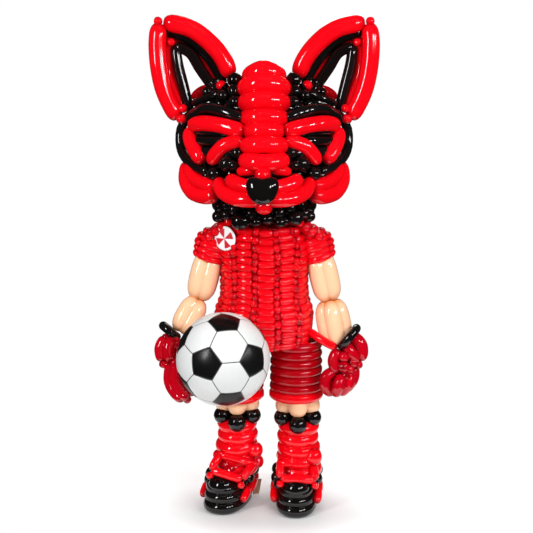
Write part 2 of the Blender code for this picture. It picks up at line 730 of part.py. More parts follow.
def badge():
    """A plain round card on the chest, turned with the side of the chest."""
    share = 1 - BADGE_BELOW_NECK / SHIRT_LENGTH
    wide = outline_radius(widened(SHIRT_OUTLINE, SHIRT_WIDTH), share) + ROW_SWELL / 2
    x, y = -wide * math.sin(BADGE_ROUND_CHEST), -SHIRT_DEPTH * wide * math.cos(BADGE_ROUND_CHEST)
    turn = Matrix.Rotation(-BADGE_TURN, 4, "Z")
    shape = bmesh.new()
    bmesh.ops.create_cone(
        shape,
        cap_ends=True,
        segments=20,
        radius1=BADGE_WIDTH / 2,
        radius2=BADGE_WIDTH / 2,
        depth=BADGE_THICKNESS,
        matrix=turn @ Matrix.Rotation(math.pi / 2, 4, "X"),
    )
    lift = turn @ Vector((0, -BADGE_LIFT, 0))
    return shape_object("badge", shape, Vector((x, y, NECK_HEIGHT - BADGE_BELOW_NECK)) + lift)


def ball():
    return bubble("ball", ball_centre(), BALL_DIAMETER, segments=14, rings=10)


# Legs and feet


def shorts_leg(side):
    """Rings of deep red balloon round the thigh, up to the hem of the shirt."""
    top = Vector((LEG_X[side], 0, HEM_HEIGHT - GAP))
    bottom = Vector((LEG_X[side], 0, SHORTS_BOTTOM))
    ring = SHORTS_LENGTH / SHORTS_RINGS
    radius = SHORTS_WIDTH / 2 - 0.2 * ring
    outline = ((0, radius), (1, 0.94 * radius))
    return ringed_solid(f"shorts_{side}", outline, SHORTS_RINGS, 0.4 * ring, bottom, top)


def knee(side):
    centre = Vector((LEG_X[side], FOOT[side]["ankle"].y, KNEE_HEIGHT))
    half = Vector((0, 0, KNEE_LENGTH / 2))
    return bundle(f"knee_{side}", centre - half, centre + half, KNEE_WIDTH, KNEE_BALLOONS)


def knee_balls(side):
    centre = Vector((LEG_X[side], FOOT[side]["ankle"].y, KNEE_BALLS_HEIGHT))
    half = Vector((0, 0, KNEE_BALL / 2))
    return bundle(f"knee_balls_{side}", centre - half, centre + half, KNEE_BALL_RING, KNEE_BALLS)


def sock(side):
    ankle = FOOT[side]["ankle"]
    bottom = Vector((ankle.x, ankle.y, SOCK_BOTTOM))
    top = Vector((LEG_X[side], ankle.y, SOCK_TOP))
    swell = 0.4 * SOCK_LENGTH / SOCK_RINGS
    outline = ((0, (SOCK_WIDTH_BOTTOM - swell) / 2), (1, (SOCK_WIDTH_TOP - swell) / 2))
    return ringed_solid(f"sock_{side}", outline, SOCK_RINGS, swell, bottom, top)


def foot_place(side):
    """Turns and moves a shoe that is set out with its pivot over the origin and its toe along -Y."""
    foot = FOOT[side]
    return Matrix.Translation(foot["pivot"]) @ Matrix.Rotation(foot["turn"], 4, "Z")


def in_shoe(shares):
    return in_shares(shares, (SHOE_WIDTH, SHOE_LENGTH, SHOE_HEIGHT))


def put(shape, place):
    bpy.context.view_layer.update()
    shape.matrix_world = place @ shape.matrix_world
    return shape


def shoe(side):
    """Black rings stacked in the outline of a foot, with a round toe cap on the front."""
    middle = HEEL_BEHIND_PIVOT - SHOE_LENGTH / 2
    ring = SHOE_HEIGHT / SOLE_RINGS
    radius = SHOE_WIDTH / 2 - 0.25 * ring
    outline = ((0, radius), (0.7, radius), (1, radius - 0.35 * ring))
    bottom = Vector((0, middle, -SOLE_SQUASH))
    top = Vector((0, middle, SHOE_HEIGHT))
    body = ringed_solid("body", outline, SOLE_RINGS, 0.5 * ring, bottom, top, SHOE_LENGTH / SHOE_WIDTH)
    cap = bubble("cap", Vector((0, middle - 0.28 * SHOE_LENGTH, SHOE_HEIGHT - 0.3 * TOE_CAP.z)), TOE_CAP)
    return stand_on_floor(put(fused(f"shoe_{side}", [body, cap]), foot_place(side)))


def shoe_stripe(side):
    """A red balloon bent round the heel and along both sides of the shoe."""
    half = SHOE_WIDTH / 2 + STRIPE_OUTSIDE
    heel = HEEL_BEHIND_PIVOT
    across = (-half, -1.07 * half, -0.6 * half, 0)
    along = (-0.2 * SHOE_LENGTH, 0.067 * SHOE_LENGTH, heel - 0.3 * LACE_BALLOON, heel + 0.4 * LACE_BALLOON)
    up = (0.45 * SHOE_HEIGHT, 0.57 * SHOE_HEIGHT, 0.64 * SHOE_HEIGHT, 0.67 * SHOE_HEIGHT)
    points = list(zip(across, along, up))
    points += [(-x, y, z) for x, y, z in points[-2::-1]]
    return put(sausage(f"shoe_stripe_{side}", points, LACE_BALLOON, spans=4), foot_place(side))


def laces(side):
    """A red frame of four balloons on the slope between the ankle and the toe, with a bubble at each corner."""
    corners = [in_shoe(corner) for corner in LACE_CORNERS[side]]
    edges = zip(corners, [*corners[1:], corners[0]])
    frame = [bubble("corner", corner, TWIST_BUBBLE, segments=5, rings=4) for corner in corners]
    frame += [sausage("lace", (a, a.lerp(b, 0.5), b), LACE_BALLOON, spans=1) for a, b in edges]
    return put(fused(f"laces_{side}", frame), foot_place(side))


def heel_board():
    """The corner of the card that steadies the right foot from behind."""
    shape = bmesh.new()
    bmesh.ops.create_cube(shape, size=1)
    bmesh.ops.scale(shape, vec=HEEL_BOARD, verts=shape.verts)
    beside = in_shoe((*HEEL_BOARD_PLACE, 0)) + Vector((0, 0, HEEL_BOARD.z / 2))
    return shape_object("heel_board", shape, foot_place("right") @ beside)


def build():
    """Every balloon in the order it is laid, with its finish."""
    laid = [(head_core(), BLACK), (ball(), WHITE), (shirt(), RED)]
    laid += [(shoe(side), BLACK) for side in SIDES]
    laid += [(shorts_leg(side), DEEP_RED) for side in SIDES]
    laid += [(sock(side), RED) for side in SIDES]
    laid += [(knee_balls(side), BLACK) for side in SIDES]
    laid += [(knee(side), SKIN) for side in SIDES]
    laid += [(sleeve(side), RED) for side in SIDES]
    for side in SIDES:
        laid.append((wrist_ring(side), BLACK))
        laid += [(part, SKIN) for part in arm(side)]
    laid += [(glove_left(), DEEP_RED), (glove_right(), DEEP_RED), (hip_tie(), RED), (badge(), WHITE)]
    laid += [(loop, RED) for loop in snout_loops()]
    laid += [(nose(), BLACK), (bubble("bridge", on_head(BRIDGE_CENTRE), CHIN_WIDTH), RED), (muzzle(), RED)]
    for side in SIDES:
        laid += [(cheek(side), RED), (eye(side), RED), (face_line(side), BLACK), (snout_side(side), BLACK)]
        rim, bow, lining, loop, back = ear(side)
        laid += [(rim, RED), (bow, RED), (lining, BLACK), (loop, BLACK), (back, RED)]
    laid.append((collar(), BLACK))
    for side in SIDES:
        laid += [(laces(side), RED), (shoe_stripe(side), RED)]
    laid.append((heel_board(), CARD))
    return laid


def centre_over_origin(objects):
    """Hangs the figure from one empty, which brings the middle of its outline over the origin."""
    bpy.context.view_layer.update()
    corners = [corner for obj in objects for corner in bounds(obj)]
    middle = [(min(c[i] for c in corners) + max(c[i] for c in corners)) / 2 for i in range(2)]
    stand = bpy.data.objects.new("figure", None)
    stand.location = (-middle[0], -middle[1], 0)
    workshop.objects.link(stand)
    for obj in objects:
        obj.parent = stand


def main():
    laid = build()
    pressed = press_together([balloon for balloon, _ in laid])
    for obj, (_, finish) in zip(pressed, laid):
        obj.data.materials.clear()
        obj.data.materials.append(finish_material(obj.name, finish))
        obj.data.shade_smooth()
        obj.data.set_sharp_from_angle(angle=math.radians(50))
    centre_over_origin(pressed)


clear_scene()
workshop = new_collection("balloon_fox")
cutters = new_collection("room_for_neighbours")
main()
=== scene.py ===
import math

import bpy
import numpy as np
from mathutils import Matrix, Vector


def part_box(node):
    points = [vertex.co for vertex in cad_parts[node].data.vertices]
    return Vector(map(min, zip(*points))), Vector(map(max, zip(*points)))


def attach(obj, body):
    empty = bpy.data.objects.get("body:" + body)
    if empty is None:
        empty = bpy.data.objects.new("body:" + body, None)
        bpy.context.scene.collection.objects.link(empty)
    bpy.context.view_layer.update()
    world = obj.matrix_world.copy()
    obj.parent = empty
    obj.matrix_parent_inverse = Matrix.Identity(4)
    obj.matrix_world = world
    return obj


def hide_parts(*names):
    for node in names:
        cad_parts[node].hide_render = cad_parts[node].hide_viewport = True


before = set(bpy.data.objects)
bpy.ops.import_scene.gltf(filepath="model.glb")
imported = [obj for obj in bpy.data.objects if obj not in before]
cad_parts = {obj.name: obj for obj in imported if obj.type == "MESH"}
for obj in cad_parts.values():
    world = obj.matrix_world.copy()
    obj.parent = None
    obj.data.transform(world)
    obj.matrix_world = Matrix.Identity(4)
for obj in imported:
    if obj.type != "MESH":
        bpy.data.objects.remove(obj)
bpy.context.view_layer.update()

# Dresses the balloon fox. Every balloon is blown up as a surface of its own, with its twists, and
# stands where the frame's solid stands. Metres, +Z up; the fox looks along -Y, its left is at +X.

draw = np.random.default_rng(11)
sides = {"left": 1, "right": -1}

ballLow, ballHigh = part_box("ball")
ballPlace = {"fromAxisX": -0.16, "fromAxisY": -0.318}
axisX = (ballLow.x + ballHigh.x) / 2 - ballPlace["fromAxisX"]
axisY = (ballLow.y + ballHigh.y) / 2 - ballPlace["fromAxisY"]
bodyAxis = np.array([axisX, axisY, 0.0])  # all lists of points below are set out from here


def fromAxis(points, side="left"):
    # set-out points (x for the fox's left) moved into the frame: (±x, y, z) + body axis
    return np.asarray(points, float) * (sides[side], 1, 1) + bodyAxis


# Camera, light and floor

photoView = {
    "across": 0.0094,
    "back": 4.2,
    "up": 1.75,
    "tiltDown": 9.7,  # degrees
    "focalPixels": 1024,
    "framePixels": 533,
    "lampsAimUp": 1.1,
}
studio = {
    "roomOnMatt": 0.42,
    "roomOnGloss": 0.03,
    "paintedShadowFloor": 0.62,  # the floor's colour near the toes, darker there as a painted shadow, and away from them
    "floorPale": 0.8,
    "paintedShadowGlow": 0.08,  # how much it glows by itself near the toes, weakly as part of the painted shadow, and away from them
    "glowFar": 0.4,
    # middle of the painted shadow, set out from the body's axis
    "paintedShadowPlace": (0.02, -0.13, 0),
    "paintedShadowStretch": (1, 1.9, 1),  # the painted shadow is this many times narrower along Y
    # the painted shadow is full within nearReach of its middle and gone past farReach
    "nearReach": 0.12,
    "farReach": 0.72,
    "floorReach": 0.95,  # past it the room's own white is seen
}
lamps = {  # place from the body's axis, width and height, power, and whether it is seen in what shines
    "left": {"place": (-2.75, -2.95, 2.5), "size": (0.6, 1.6), "watts": 85, "shines": True},
    "right1": {"place": (1.88, -3.53, 2.5), "size": (0.26, 0.5), "watts": 25, "shines": True},
    "right2": {"place": (2.57, -3.06, 2.5), "size": (0.26, 0.5), "watts": 25, "shines": True},
    "right3": {"place": (3.15, -2.46, 2.5), "size": (0.26, 0.5), "watts": 25, "shines": True},
    "right4": {"place": (3.6, -1.75, 2.5), "size": (0.26, 0.5), "watts": 25, "shines": True},
    "above": {"place": (0.2, -2.6, 4.4), "size": (3.0, 2.0), "watts": 66, "shines": False},
    "low": {"place": (0.0, -3.6, 0.6), "size": (3.0, 1.0), "watts": 16, "shines": False},
    "behind": {"place": (0.5, 3.6, 3.4), "size": (1.6, 1.6), "watts": 34, "shines": True},
}


def setCamera():
    made = bpy.data.cameras.new("photoCamera")
    made.sensor_width = 36
    made.lens = made.sensor_width * photoView["focalPixels"] / photoView["framePixels"]
    camera = bpy.data.objects.new("photoCamera", made)
    bpy.context.scene.collection.objects.link(camera)
    camera.location = (axisX + photoView["across"], axisY - photoView["back"], photoView["up"])
    camera.rotation_euler = (math.radians(90 - photoView["tiltDown"]), 0, 0)
    bpy.context.scene.camera = camera
    bpy.context.scene.view_settings.view_transform = "Standard"


def setLamps():
    aim = Vector((axisX, axisY, photoView["lampsAimUp"]))
    for name, lamp in lamps.items():
        light = bpy.data.lights.new(name, "AREA")
        light.shape = "RECTANGLE"
        light.size, light.size_y = lamp["size"]
        light.energy = lamp["watts"]
        made = bpy.data.objects.new(name, light)
        made.location = Vector(lamp["place"]) + Vector(bodyAxis)
        made.rotation_euler = (aim - made.location).to_track_quat("-Z", "Y").to_euler()
        made.visible_glossy = lamp["shines"]
        bpy.context.scene.collection.objects.link(made)


def setRoom():
    # white seen straight on, soft white on matt surfaces, and dimmer in what shines
    world = bpy.data.worlds.new("whiteRoom")
    bpy.context.scene.world = world
    world.use_nodes = True
    nodes, links = world.node_tree.nodes, world.node_tree.links
    back = nodes["Background"]
    back.inputs["Color"].default_value = (1, 1, 1, 1)
    rays = nodes.new("ShaderNodeLightPath")
    matt = nodes.new("ShaderNodeMath")
    matt.operation = "MULTIPLY_ADD"
    matt.inputs[1].default_value = studio["roomOnGloss"] - studio["roomOnMatt"]
    matt.inputs[2].default_value = studio["roomOnMatt"]
    straight = nodes.new("ShaderNodeMath")
    straight.operation = "MAXIMUM"
    links.new(rays.outputs["Is Glossy Ray"], matt.inputs[0])
    links.new(rays.outputs["Is Camera Ray"], straight.inputs[0])
    links.new(matt.outputs[0], straight.inputs[1])
    links.new(straight.outputs[0], back.inputs["Strength"])


def setFloor():
    # a pale floor with a painted shadow round the toes: darker and with little glow of its own there, so that
    # only this shadow shows on it
    half = studio["floorReach"]
    corners = np.array([(-half, -half, 0), (half, -half, 0), (half, half, 0), (-half, half, 0)]) + bodyAxis
    mesh = bpy.data.meshes.new("studioFloor")
    mesh.from_pydata(corners.tolist(), [], [(0, 1, 2, 3)])
    floor = bpy.data.objects.new("studioFloor", mesh)
    bpy.context.scene.collection.objects.link(floor)
    material = bpy.data.materials.new("paleFloorPaintedShadow")
    material.use_nodes = True
    shader = material.node_tree.nodes["Principled BSDF"]
    shader.inputs["Roughness"].default_value = 0.9
    shader.inputs["Specular IOR Level"].default_value = 0.1
    shader.inputs["Emission Color"].default_value = (1, 1, 1, 1)
    nodes, links = material.node_tree.nodes, material.node_tree.links
    where = nodes.new("ShaderNodeTexCoord")
    stretch = nodes.new("ShaderNodeMapping")
    stretch.vector_type = "POINT"
    stretch.inputs["Scale"].default_value = studio["paintedShadowStretch"]
    away = nodes.new("ShaderNodeVectorMath")
    away.operation = "DISTANCE"
    away.inputs[1].default_value = (bodyAxis + studio["paintedShadowPlace"]) * studio["paintedShadowStretch"]
    links.new(where.outputs["Object"], stretch.inputs["Vector"])
    links.new(stretch.outputs["Vector"], away.inputs[0])
    # painted shadow: the floor's colour and its glow fade from dark values near the toes to pale values away
    # from them
    fades = (("paintedShadowFloor", "floorPale", "Base Color"), ("paintedShadowGlow", "glowFar", "Emission Strength"))
    for near, far, socket in fades:
        fade = nodes.new("ShaderNodeMapRange")
        fade.interpolation_type = "SMOOTHSTEP"
        fade.inputs["From Min"].default_value = studio["nearReach"]
        fade.inputs["From Max"].default_value = studio["farReach"]
        fade.inputs["To Min"].default_value = studio[near]
        fade.inputs["To Max"].default_value = studio[far]
        links.new(away.outputs["Value"], fade.inputs["Value"])
        links.new(fade.outputs["Result"], shader.inputs[socket])
    mesh.materials.append(material)


setCamera()
setLamps()
setRoom()
setFloor()
print("camera, lamps and floor are set")


# Finishes


def groupSocket(group, name, kind, value=None, out=False):
    made = group.interface.new_socket(name=name, in_out="OUTPUT" if out else "INPUT", socket_type=kind)
    if value is not None:
        made.default_value = value


def latexGroup():
    # thick latex at the twists mixed to stretched latex by a point attribute; the thick, darker colour also
    # stands as painted shade in the crevices at the twists and in grooves and hollows.
    # Each balloon is lightened or darkened by the attribute tone, with cloudy smudges in the roughness and a
    # faint bump
    group = bpy.data.node_groups.new("latexSkin", "ShaderNodeTree")
    groupSocket(group, "ThickAndShade", "NodeSocketColor", (0.5, 0, 0, 1))
    groupSocket(group, "Stretched", "NodeSocketColor", (0.8, 0, 0, 1))
    groupSocket(group, "Tone Spread", "NodeSocketFloat", 0.08)
    groupSocket(group, "Smooth", "NodeSocketFloat", 0.05)
    groupSocket(group, "Smudged", "NodeSocketFloat", 0.12)
    groupSocket(group, "Ripple", "NodeSocketFloat", 0.03)
    groupSocket(group, "Color", "NodeSocketColor", out=True)
    groupSocket(group, "Roughness", "NodeSocketFloat", out=True)
    groupSocket(group, "Normal", "NodeSocketVector", out=True)
    nodes, links = group.nodes, group.links
    given = nodes.new("NodeGroupInput")
    made = nodes.new("NodeGroupOutput")
    swell = nodes.new("ShaderNodeAttribute")
    swell.attribute_name = "swell"
    tone = nodes.new("ShaderNodeAttribute")
    tone.attribute_name = "tone"
    blend = nodes.new("ShaderNodeMix")
    blend.data_type = "RGBA"
    links.new(swell.outputs["Fac"], blend.inputs["Factor"])
    links.new(given.outputs["ThickAndShade"], blend.inputs["A"])
    links.new(given.outputs["Stretched"], blend.inputs["B"])
    lighten = nodes.new("ShaderNodeMath")
    lighten.operation = "MULTIPLY_ADD"
    lighten.inputs[2].default_value = 1.0
    links.new(tone.outputs["Fac"], lighten.inputs[0])
    links.new(given.outputs["Tone Spread"], lighten.inputs[1])
    shade = nodes.new("ShaderNodeHueSaturation")
    links.new(blend.outputs["Result"], shade.inputs["Color"])
    links.new(lighten.outputs[0], shade.inputs["Value"])
    links.new(shade.outputs["Color"], made.inputs["Color"])
    place = nodes.new("ShaderNodeTexCoord")
    smudge = nodes.new("ShaderNodeTexNoise")
    smudge.inputs["Scale"].default_value = 14
    smudge.inputs["Detail"].default_value = 4
    links.new(place.outputs["Object"], smudge.inputs["Vector"])
    rough = nodes.new("ShaderNodeMapRange")
    rough.inputs["From Min"].default_value = 0.35
    rough.inputs["From Max"].default_value = 0.75
    links.new(smudge.outputs["Fac"], rough.inputs["Value"])
    links.new(given.outputs["Smooth"], rough.inputs["To Min"])
    links.new(given.outputs["Smudged"], rough.inputs["To Max"])
    links.new(rough.outputs["Result"], made.inputs["Roughness"])
    fine = nodes.new("ShaderNodeTexNoise")
    fine.inputs["Scale"].default_value = 42
    fine.inputs["Detail"].default_value = 2
    links.new(place.outputs["Object"], fine.inputs["Vector"])
    bump = nodes.new("ShaderNodeBump")
    bump.inputs["Distance"].default_value = 0.002
    links.new(given.outputs["Ripple"], bump.inputs["Strength"])
    links.new(fine.outputs["Fac"], bump.inputs["Height"])
    links.new(bump.outputs["Normal"], made.inputs["Normal"])
    return group


latexSkin = latexGroup()

latexes = {  # colour where the latex is thick, which also serves as painted shade in crevices, grooves and hollows, and where it is stretched, and how much balloons differ
    "redLatex": ((0.3, 0.0, 0.003, 1), (0.8, 0.001, 0.006, 1), 0.06),
    "crimsonLatex": ((0.18, 0.0, 0.003, 1), (0.5, 0.0, 0.008, 1), 0.1),
    "shortsLatex": ((0.09, 0.0, 0.001, 1), (0.38, 0.0, 0.004, 1), 0.12),
    "blackLatex": ((0.0015, 0.001, 0.001, 1), (0.004, 0.003, 0.003, 1), 0.3),
    "skinLatex": ((0.68, 0.22, 0.06, 1), (0.9, 0.53, 0.32, 1), 0.02),
}


def newMaterial(name):
    material = bpy.data.materials.new(name)
    material.use_nodes = True
    return material, material.node_tree.nodes, material.node_tree.links


def latexMaterial(name):
    material, nodes, links = newMaterial(name)
    skin = nodes.new("ShaderNodeGroup")
    skin.node_tree = latexSkin
    for label, value in zip(("ThickAndShade", "Stretched", "Tone Spread"), latexes[name]):
        skin.inputs[label].default_value = value
    shader = nodes["Principled BSDF"]
    links.new(skin.outputs["Color"], shader.inputs["Base Color"])
    links.new(skin.outputs["Roughness"], shader.inputs["Roughness"])
    links.new(skin.outputs["Normal"], shader.inputs["Normal"])
    shader.inputs["Specular IOR Level"].default_value = 0.5
    return material


finishes = {name: latexMaterial(name) for name in latexes}
print("latex finishes are mixed")


# Balloons


def smoothPath(points, steps=12):
    # Catmull-Rom curve: (2b + (c - a)t + (2a - 5b + 4c - d)t² + (3b - a - 3c + d)t³) / 2 between b and c
    points = np.asarray(points, float)
    held = np.vstack([2 * points[0] - points[1], points, 2 * points[-1] - points[-2]])
    t = np.linspace(0, len(points) - 1, steps * (len(points) - 1) + 1)
    i = np.minimum(t.astype(int), len(points) - 2)
    t = (t - i)[:, None]
    a, b, c, d = (held[i + k] for k in range(4))
    path = (2 * b + (c - a) * t + (2 * a - 5 * b + 4 * c - d) * t**2 + (3 * b - a - 3 * c + d) * t**3) / 2
    run = np.concatenate([[0], np.cumsum(np.linalg.norm(np.diff(path, axis=0), axis=1))])
    return path, run


def placesAt(path, run, lengths):
    return np.stack([np.interp(lengths, run, path[:, k]) for k in range(3)], axis=1)


def quadRows(rows, columns):
    # four-sided faces between rows of points that go round: (i, j), (i, j + 1), (i + 1, j + 1), (i + 1, j)
    i, j = np.meshgrid(np.arange(rows - 1), np.arange(columns), indexing="ij")
    here, above, k = i * columns, (i + 1) * columns, (j + 1) % columns
    return np.stack([here + j, here + k, above + k, above + j], axis=-1).reshape(-1, 4)


def balloon(points, width, around=12, middle=6, ends=4, pinch=0.3, taper=0.6, belly=0.04, flute=0.05):
    # A balloon blown up on a smooth path. At s from a twist its radius is
    # width/2 · (pinch + (1 - pinch) sin φ), with cos φ = 1 - s/(taper · width), and flutes
    # of depth flute · e^(-s / 0.35 width) run out of each twist.
    path, run = smoothPath(points)
    total = run[-1]
    end = min(taper * width, 0.5 * total)
    near = end * (1 - np.cos(np.linspace(0, math.pi / 2, ends + 1)))
    between = np.linspace(end, total - end, middle + 2)[1:-1] if total > 2.1 * end else np.array([])
    far = total - near[::-1]
    s = np.concatenate([near, between, far if total > 2.1 * end else far[1:]])
    fromTwist = np.minimum(s, total - s)
    fill = np.sqrt(np.clip(1 - (1 - np.minimum(fromTwist / end, 1)) ** 2, 0, 1))
    radius = width / 2 * (pinch + (1 - pinch) * fill) * (1 + belly * np.sin(math.pi * s / total))
    centres = placesAt(path, run, s)
    step = 0.02 * total
    ahead = placesAt(path, run, np.minimum(s + step, total))
    along = ahead - placesAt(path, run, np.maximum(s - step, 0))
    along /= np.linalg.norm(along, axis=1)[:, None]
    flat = np.linalg.svd(path - path.mean(axis=0), full_matrices=False)[2][2]
    out = np.cross(along, flat)
    out /= np.linalg.norm(out, axis=1)[:, None]
    up = np.cross(out, along)
    turn = 2 * math.pi * (np.arange(around) + 0.5) / around
    groove = 1 - flute * np.exp(-fromTwist / (0.35 * width))[:, None] * (np.arange(around) % 2)[None, :]
    reach = (radius[:, None] * groove)[:, :, None]
    cos, sin = np.cos(turn)[None, :, None], np.sin(turn)[None, :, None]
    ringPoints = centres[:, None] + reach * (cos * up[:, None] + sin * out[:, None])
    rings = len(s)
    verts = np.vstack([ringPoints.reshape(-1, 3), path[0], path[-1]])
    j, k = np.arange(around), (np.arange(around) + 1) % around
    last = (rings - 1) * around
    start = np.full(around, rings * around)
    tris = np.vstack([np.stack([start, k, j], axis=1), np.stack([start + 1, last + j, last + k], axis=1)])
    # the colour runs from 0 at the twists to 1 in the middle: darker at the twists, partly for the thicker
    # latex there and partly as painted shade in the crevice between two bubbles
    swell = np.repeat(np.clip(fill * 1.05, 0, 1) ** 1.5, around)
    swell = np.concatenate([swell, [0, 0]])
    tone = np.full(len(verts), draw.uniform(-1, 1))
    return {"verts": verts, "quads": quadRows(rings, around), "tris": tris, "swell": swell, "tone": tone}


def bubble(centre, width, axis=(0, 0, 1), length=None, around=12, ends=4, pinch=0.18):
    # a short round balloon, its two twists along axis
    centre = np.asarray(centre, float)
    axis = np.asarray(axis, float) / np.linalg.norm(axis)
    reach = axis * (length or width) / 2
    path = [centre - reach, centre + reach]
    return balloon(path, width, around, 2, ends, pinch, taper=0.5, belly=0.0, flute=0.03)


def grid(points, swell=1.0):
    # a closed skin over rows of points (rows, columns, 3) that go round anticlockwise seen from above,
    # lowest row first; each end is closed with a fan to its middle
    rows, columns = points.shape[:2]
    verts = np.vstack([points.reshape(-1, 3), points[0].mean(axis=0), points[-1].mean(axis=0)])
    j, k = np.arange(columns), (np.arange(columns) + 1) % columns
    low = np.full(columns, rows * columns)
    last = (rows - 1) * columns
    tris = np.vstack([np.stack([low, k, j], axis=1), np.stack([low + 1, last + j, last + k], axis=1)])
    return {
        "verts": verts,
        "quads": quadRows(rows, columns),
        "tris": tris,
        "swell": np.full(len(verts), float(swell)),
        "tone": np.zeros(len(verts)),
    }


def addPiece(name, shapes, material, nodes, values=("swell", "tone")):
    # puts all the shapes in one mesh, with one value for each point in each named attribute
    counts = np.cumsum([0] + [len(shape["verts"]) for shape in shapes[:-1]])
    verts = np.vstack([shape["verts"] for shape in shapes])
    quads = np.vstack([shape["quads"] + n for shape, n in zip(shapes, counts)])
    tris = np.vstack([shape["tris"] + n for shape, n in zip(shapes, counts)])
    mesh = bpy.data.meshes.new(name)
    mesh.from_pydata(verts.tolist(), [], quads.tolist() + tris.tolist())
    mesh.polygons.foreach_set("use_smooth", np.ones(len(mesh.polygons), bool))
    for label in values:
        attribute = mesh.attributes.new(label, "FLOAT", "POINT")
        level = np.concatenate([shape[label] for shape in shapes]).astype(np.float32)
        attribute.data.foreach_set("value", level)
    mesh.materials.append(material)
    piece = bpy.data.objects.new(name, mesh)
    bpy.context.scene.collection.objects.link(piece)
    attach(piece, "root")
    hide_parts(*nodes)
    return piece


def latexPiece(name, shapes, finish, nodes):
    return addPiece(name, shapes, finishes[finish], nodes)


# Head

head = {
    "half": np.array([0.285, 0.22, 0.255]),
    "behindAxis": 0.05,
    "squareness": 2.5,
    "weaveWidth": 0.05,  # black balloons that the head is woven from
    "weaveLength": 0.115,
    "weaveRows": 13,
    "bob": 0.004,  # how far a woven balloon may stand in or out
}
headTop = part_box("head_core")[1].z
headCentre = bodyAxis + (0, head["behindAxis"], headTop - head["half"][2])


def ontoHead(points, width, press=0.0):
    # moves points that lie too deep out from the head's middle, until
    # the sum of |d / (half + width/2 - press)|^p is 1
    reach = head["half"] + width / 2 - press
    ways = np.asarray(points, float) - headCentre
    depth = np.sum(np.abs(ways / reach) ** head["squareness"], axis=-1, keepdims=True)
    return headCentre + ways * np.maximum(1, depth ** (-1 / head["squareness"]))


def headPoint(turn, rise, inset):
    # the head's surface in the direction turn round from the front and rise up, less inset
    level = np.cos(rise)
    way = np.stack([level * np.sin(turn), -level * np.cos(turn), np.sin(rise) + 0 * turn], axis=-1)
    depth = np.sum(np.abs(way / (head["half"] - inset)) ** head["squareness"], axis=-1, keepdims=True)
    return headCentre + way * depth ** (-1 / head["squareness"])


def onHead(points, width, side="left", **shape):
    return balloon(ontoHead(fromAxis(points, side), width), width, **shape)


def weaveHead():
    # rows of short balloons round the head, each row set off by half a balloon from the row below
    width, length = head["weaveWidth"], head["weaveLength"]
    made = []
    rows, bob = head["weaveRows"], head["bob"]
    for row in range(rows):
        rise = math.pi * ((row + 0.5) / rows - 0.5) * 0.98
        ringTurns = np.linspace(0, 2 * math.pi, 73)
        ringPath = headPoint(ringTurns, rise, width / 2)
        around = np.linalg.norm(np.diff(ringPath, axis=0), axis=1).sum()
        count = max(3, round(around / length))
        for k in range(count):
            first = 2 * math.pi * (k + 0.5 * (row % 2)) / count
            turns = first + np.linspace(0.03, 0.97, 5) * 2 * math.pi / count
            path = headPoint(turns, rise, width / 2 + 0.002 + draw.uniform(-bob, bob))
            made.append(balloon(path, width * draw.uniform(0.96, 1.1), 10, 3, 3, pinch=0.35))
    turns = np.linspace(0, 2 * math.pi, 33)[:-1]
    rises = np.linspace(-0.49, 0.49, 15) * math.pi
    made.append(grid(np.stack([headPoint(turns, r, 0.03) for r in rises]), swell=0.2))
    return made


snoutCore = {
    "centre": (0, -0.12, 1.425),
    "half": (0.12, 0.16, 0.1),
    "bubble": 0.07,
    "bubbleLong": 0.075,
    "rings": ((-0.75, 0.66), (-0.35, 0.93), (0.1, 1.0), (0.5, 0.87)),  # shares of half its length and width
    "onRing": 9,
}


def snoutFill():
    # black bubbles spread over the snout's core, in rings round its length
    made = []
    wide, long, count = snoutCore["bubble"], snoutCore["bubbleLong"], snoutCore["onRing"]
    half = np.array(snoutCore["half"]) - wide / 2
    for ring, out in snoutCore["rings"]:
        for k in range(count):
            turn = 2 * math.pi * (k + 0.5 * (ring > 0)) / count
            way = np.array([out * math.sin(turn), ring, out * math.cos(turn)])
            place = np.array(snoutCore["centre"]) + way * half
            made.append(bubble(fromAxis(place), wide, (math.cos(turn), 0, -math.sin(turn)), long, 10, 3))
    return made


eyeDark = {  # black tubes inside the eyes, and how far in and out they reach
    "width": 0.042,
    "reach": (0.1, 0.266),
    "heights": (1.592, 1.553, 1.512),
}


def eyeFill(side):
    low, high = eyeDark["reach"]
    made = []
    for z in eyeDark["heights"]:
        path = [(high, -0.07, z), ((low + high) / 2, -0.15, z + 0.004), (low, -0.19, z)]
        made.append(onHead(path, eyeDark["width"], side, flute=0.03))
    return made


crownBubbles = (  # set-out places and widths of the black bubbles between an ear and the snout
    ((0.118, -0.03, 1.796), 0.062), ((0.12, -0.085, 1.752), 0.052), ((0.152, -0.07, 1.72), 0.044),
    ((0.112, -0.12, 1.706), 0.046), ((0.165, -0.005, 1.765), 0.05), ((0.2, -0.045, 1.735), 0.04),
    ((0.14, -0.13, 1.672), 0.036), ((0.098, -0.16, 1.655), 0.034), ((0.23, -0.01, 1.748), 0.044),
    ((0.122, 0.04, 1.8), 0.06), ((0.18, 0.06, 1.79), 0.055), ((0.203, 0.02, 1.76), 0.052),
)
upperBrow = ((0.29, 0.0, 1.7), (0.25, -0.03, 1.716), (0.2, -0.05, 1.728), (0.165, -0.06, 1.735))


def blackHead():
    made = weaveHead() + snoutFill()
    for side in sides:
        made += eyeFill(side)
        for place, width in crownBubbles:
            axis = draw.normal(size=3)
            made.append(bubble(ontoHead(fromAxis(place, side), width, 0.3 * width), width, axis))
        made.append(onHead(upperBrow, 0.03, side))
    return made


latexPiece("headWeave", blackHead(), "blackLatex", ["head_core"])

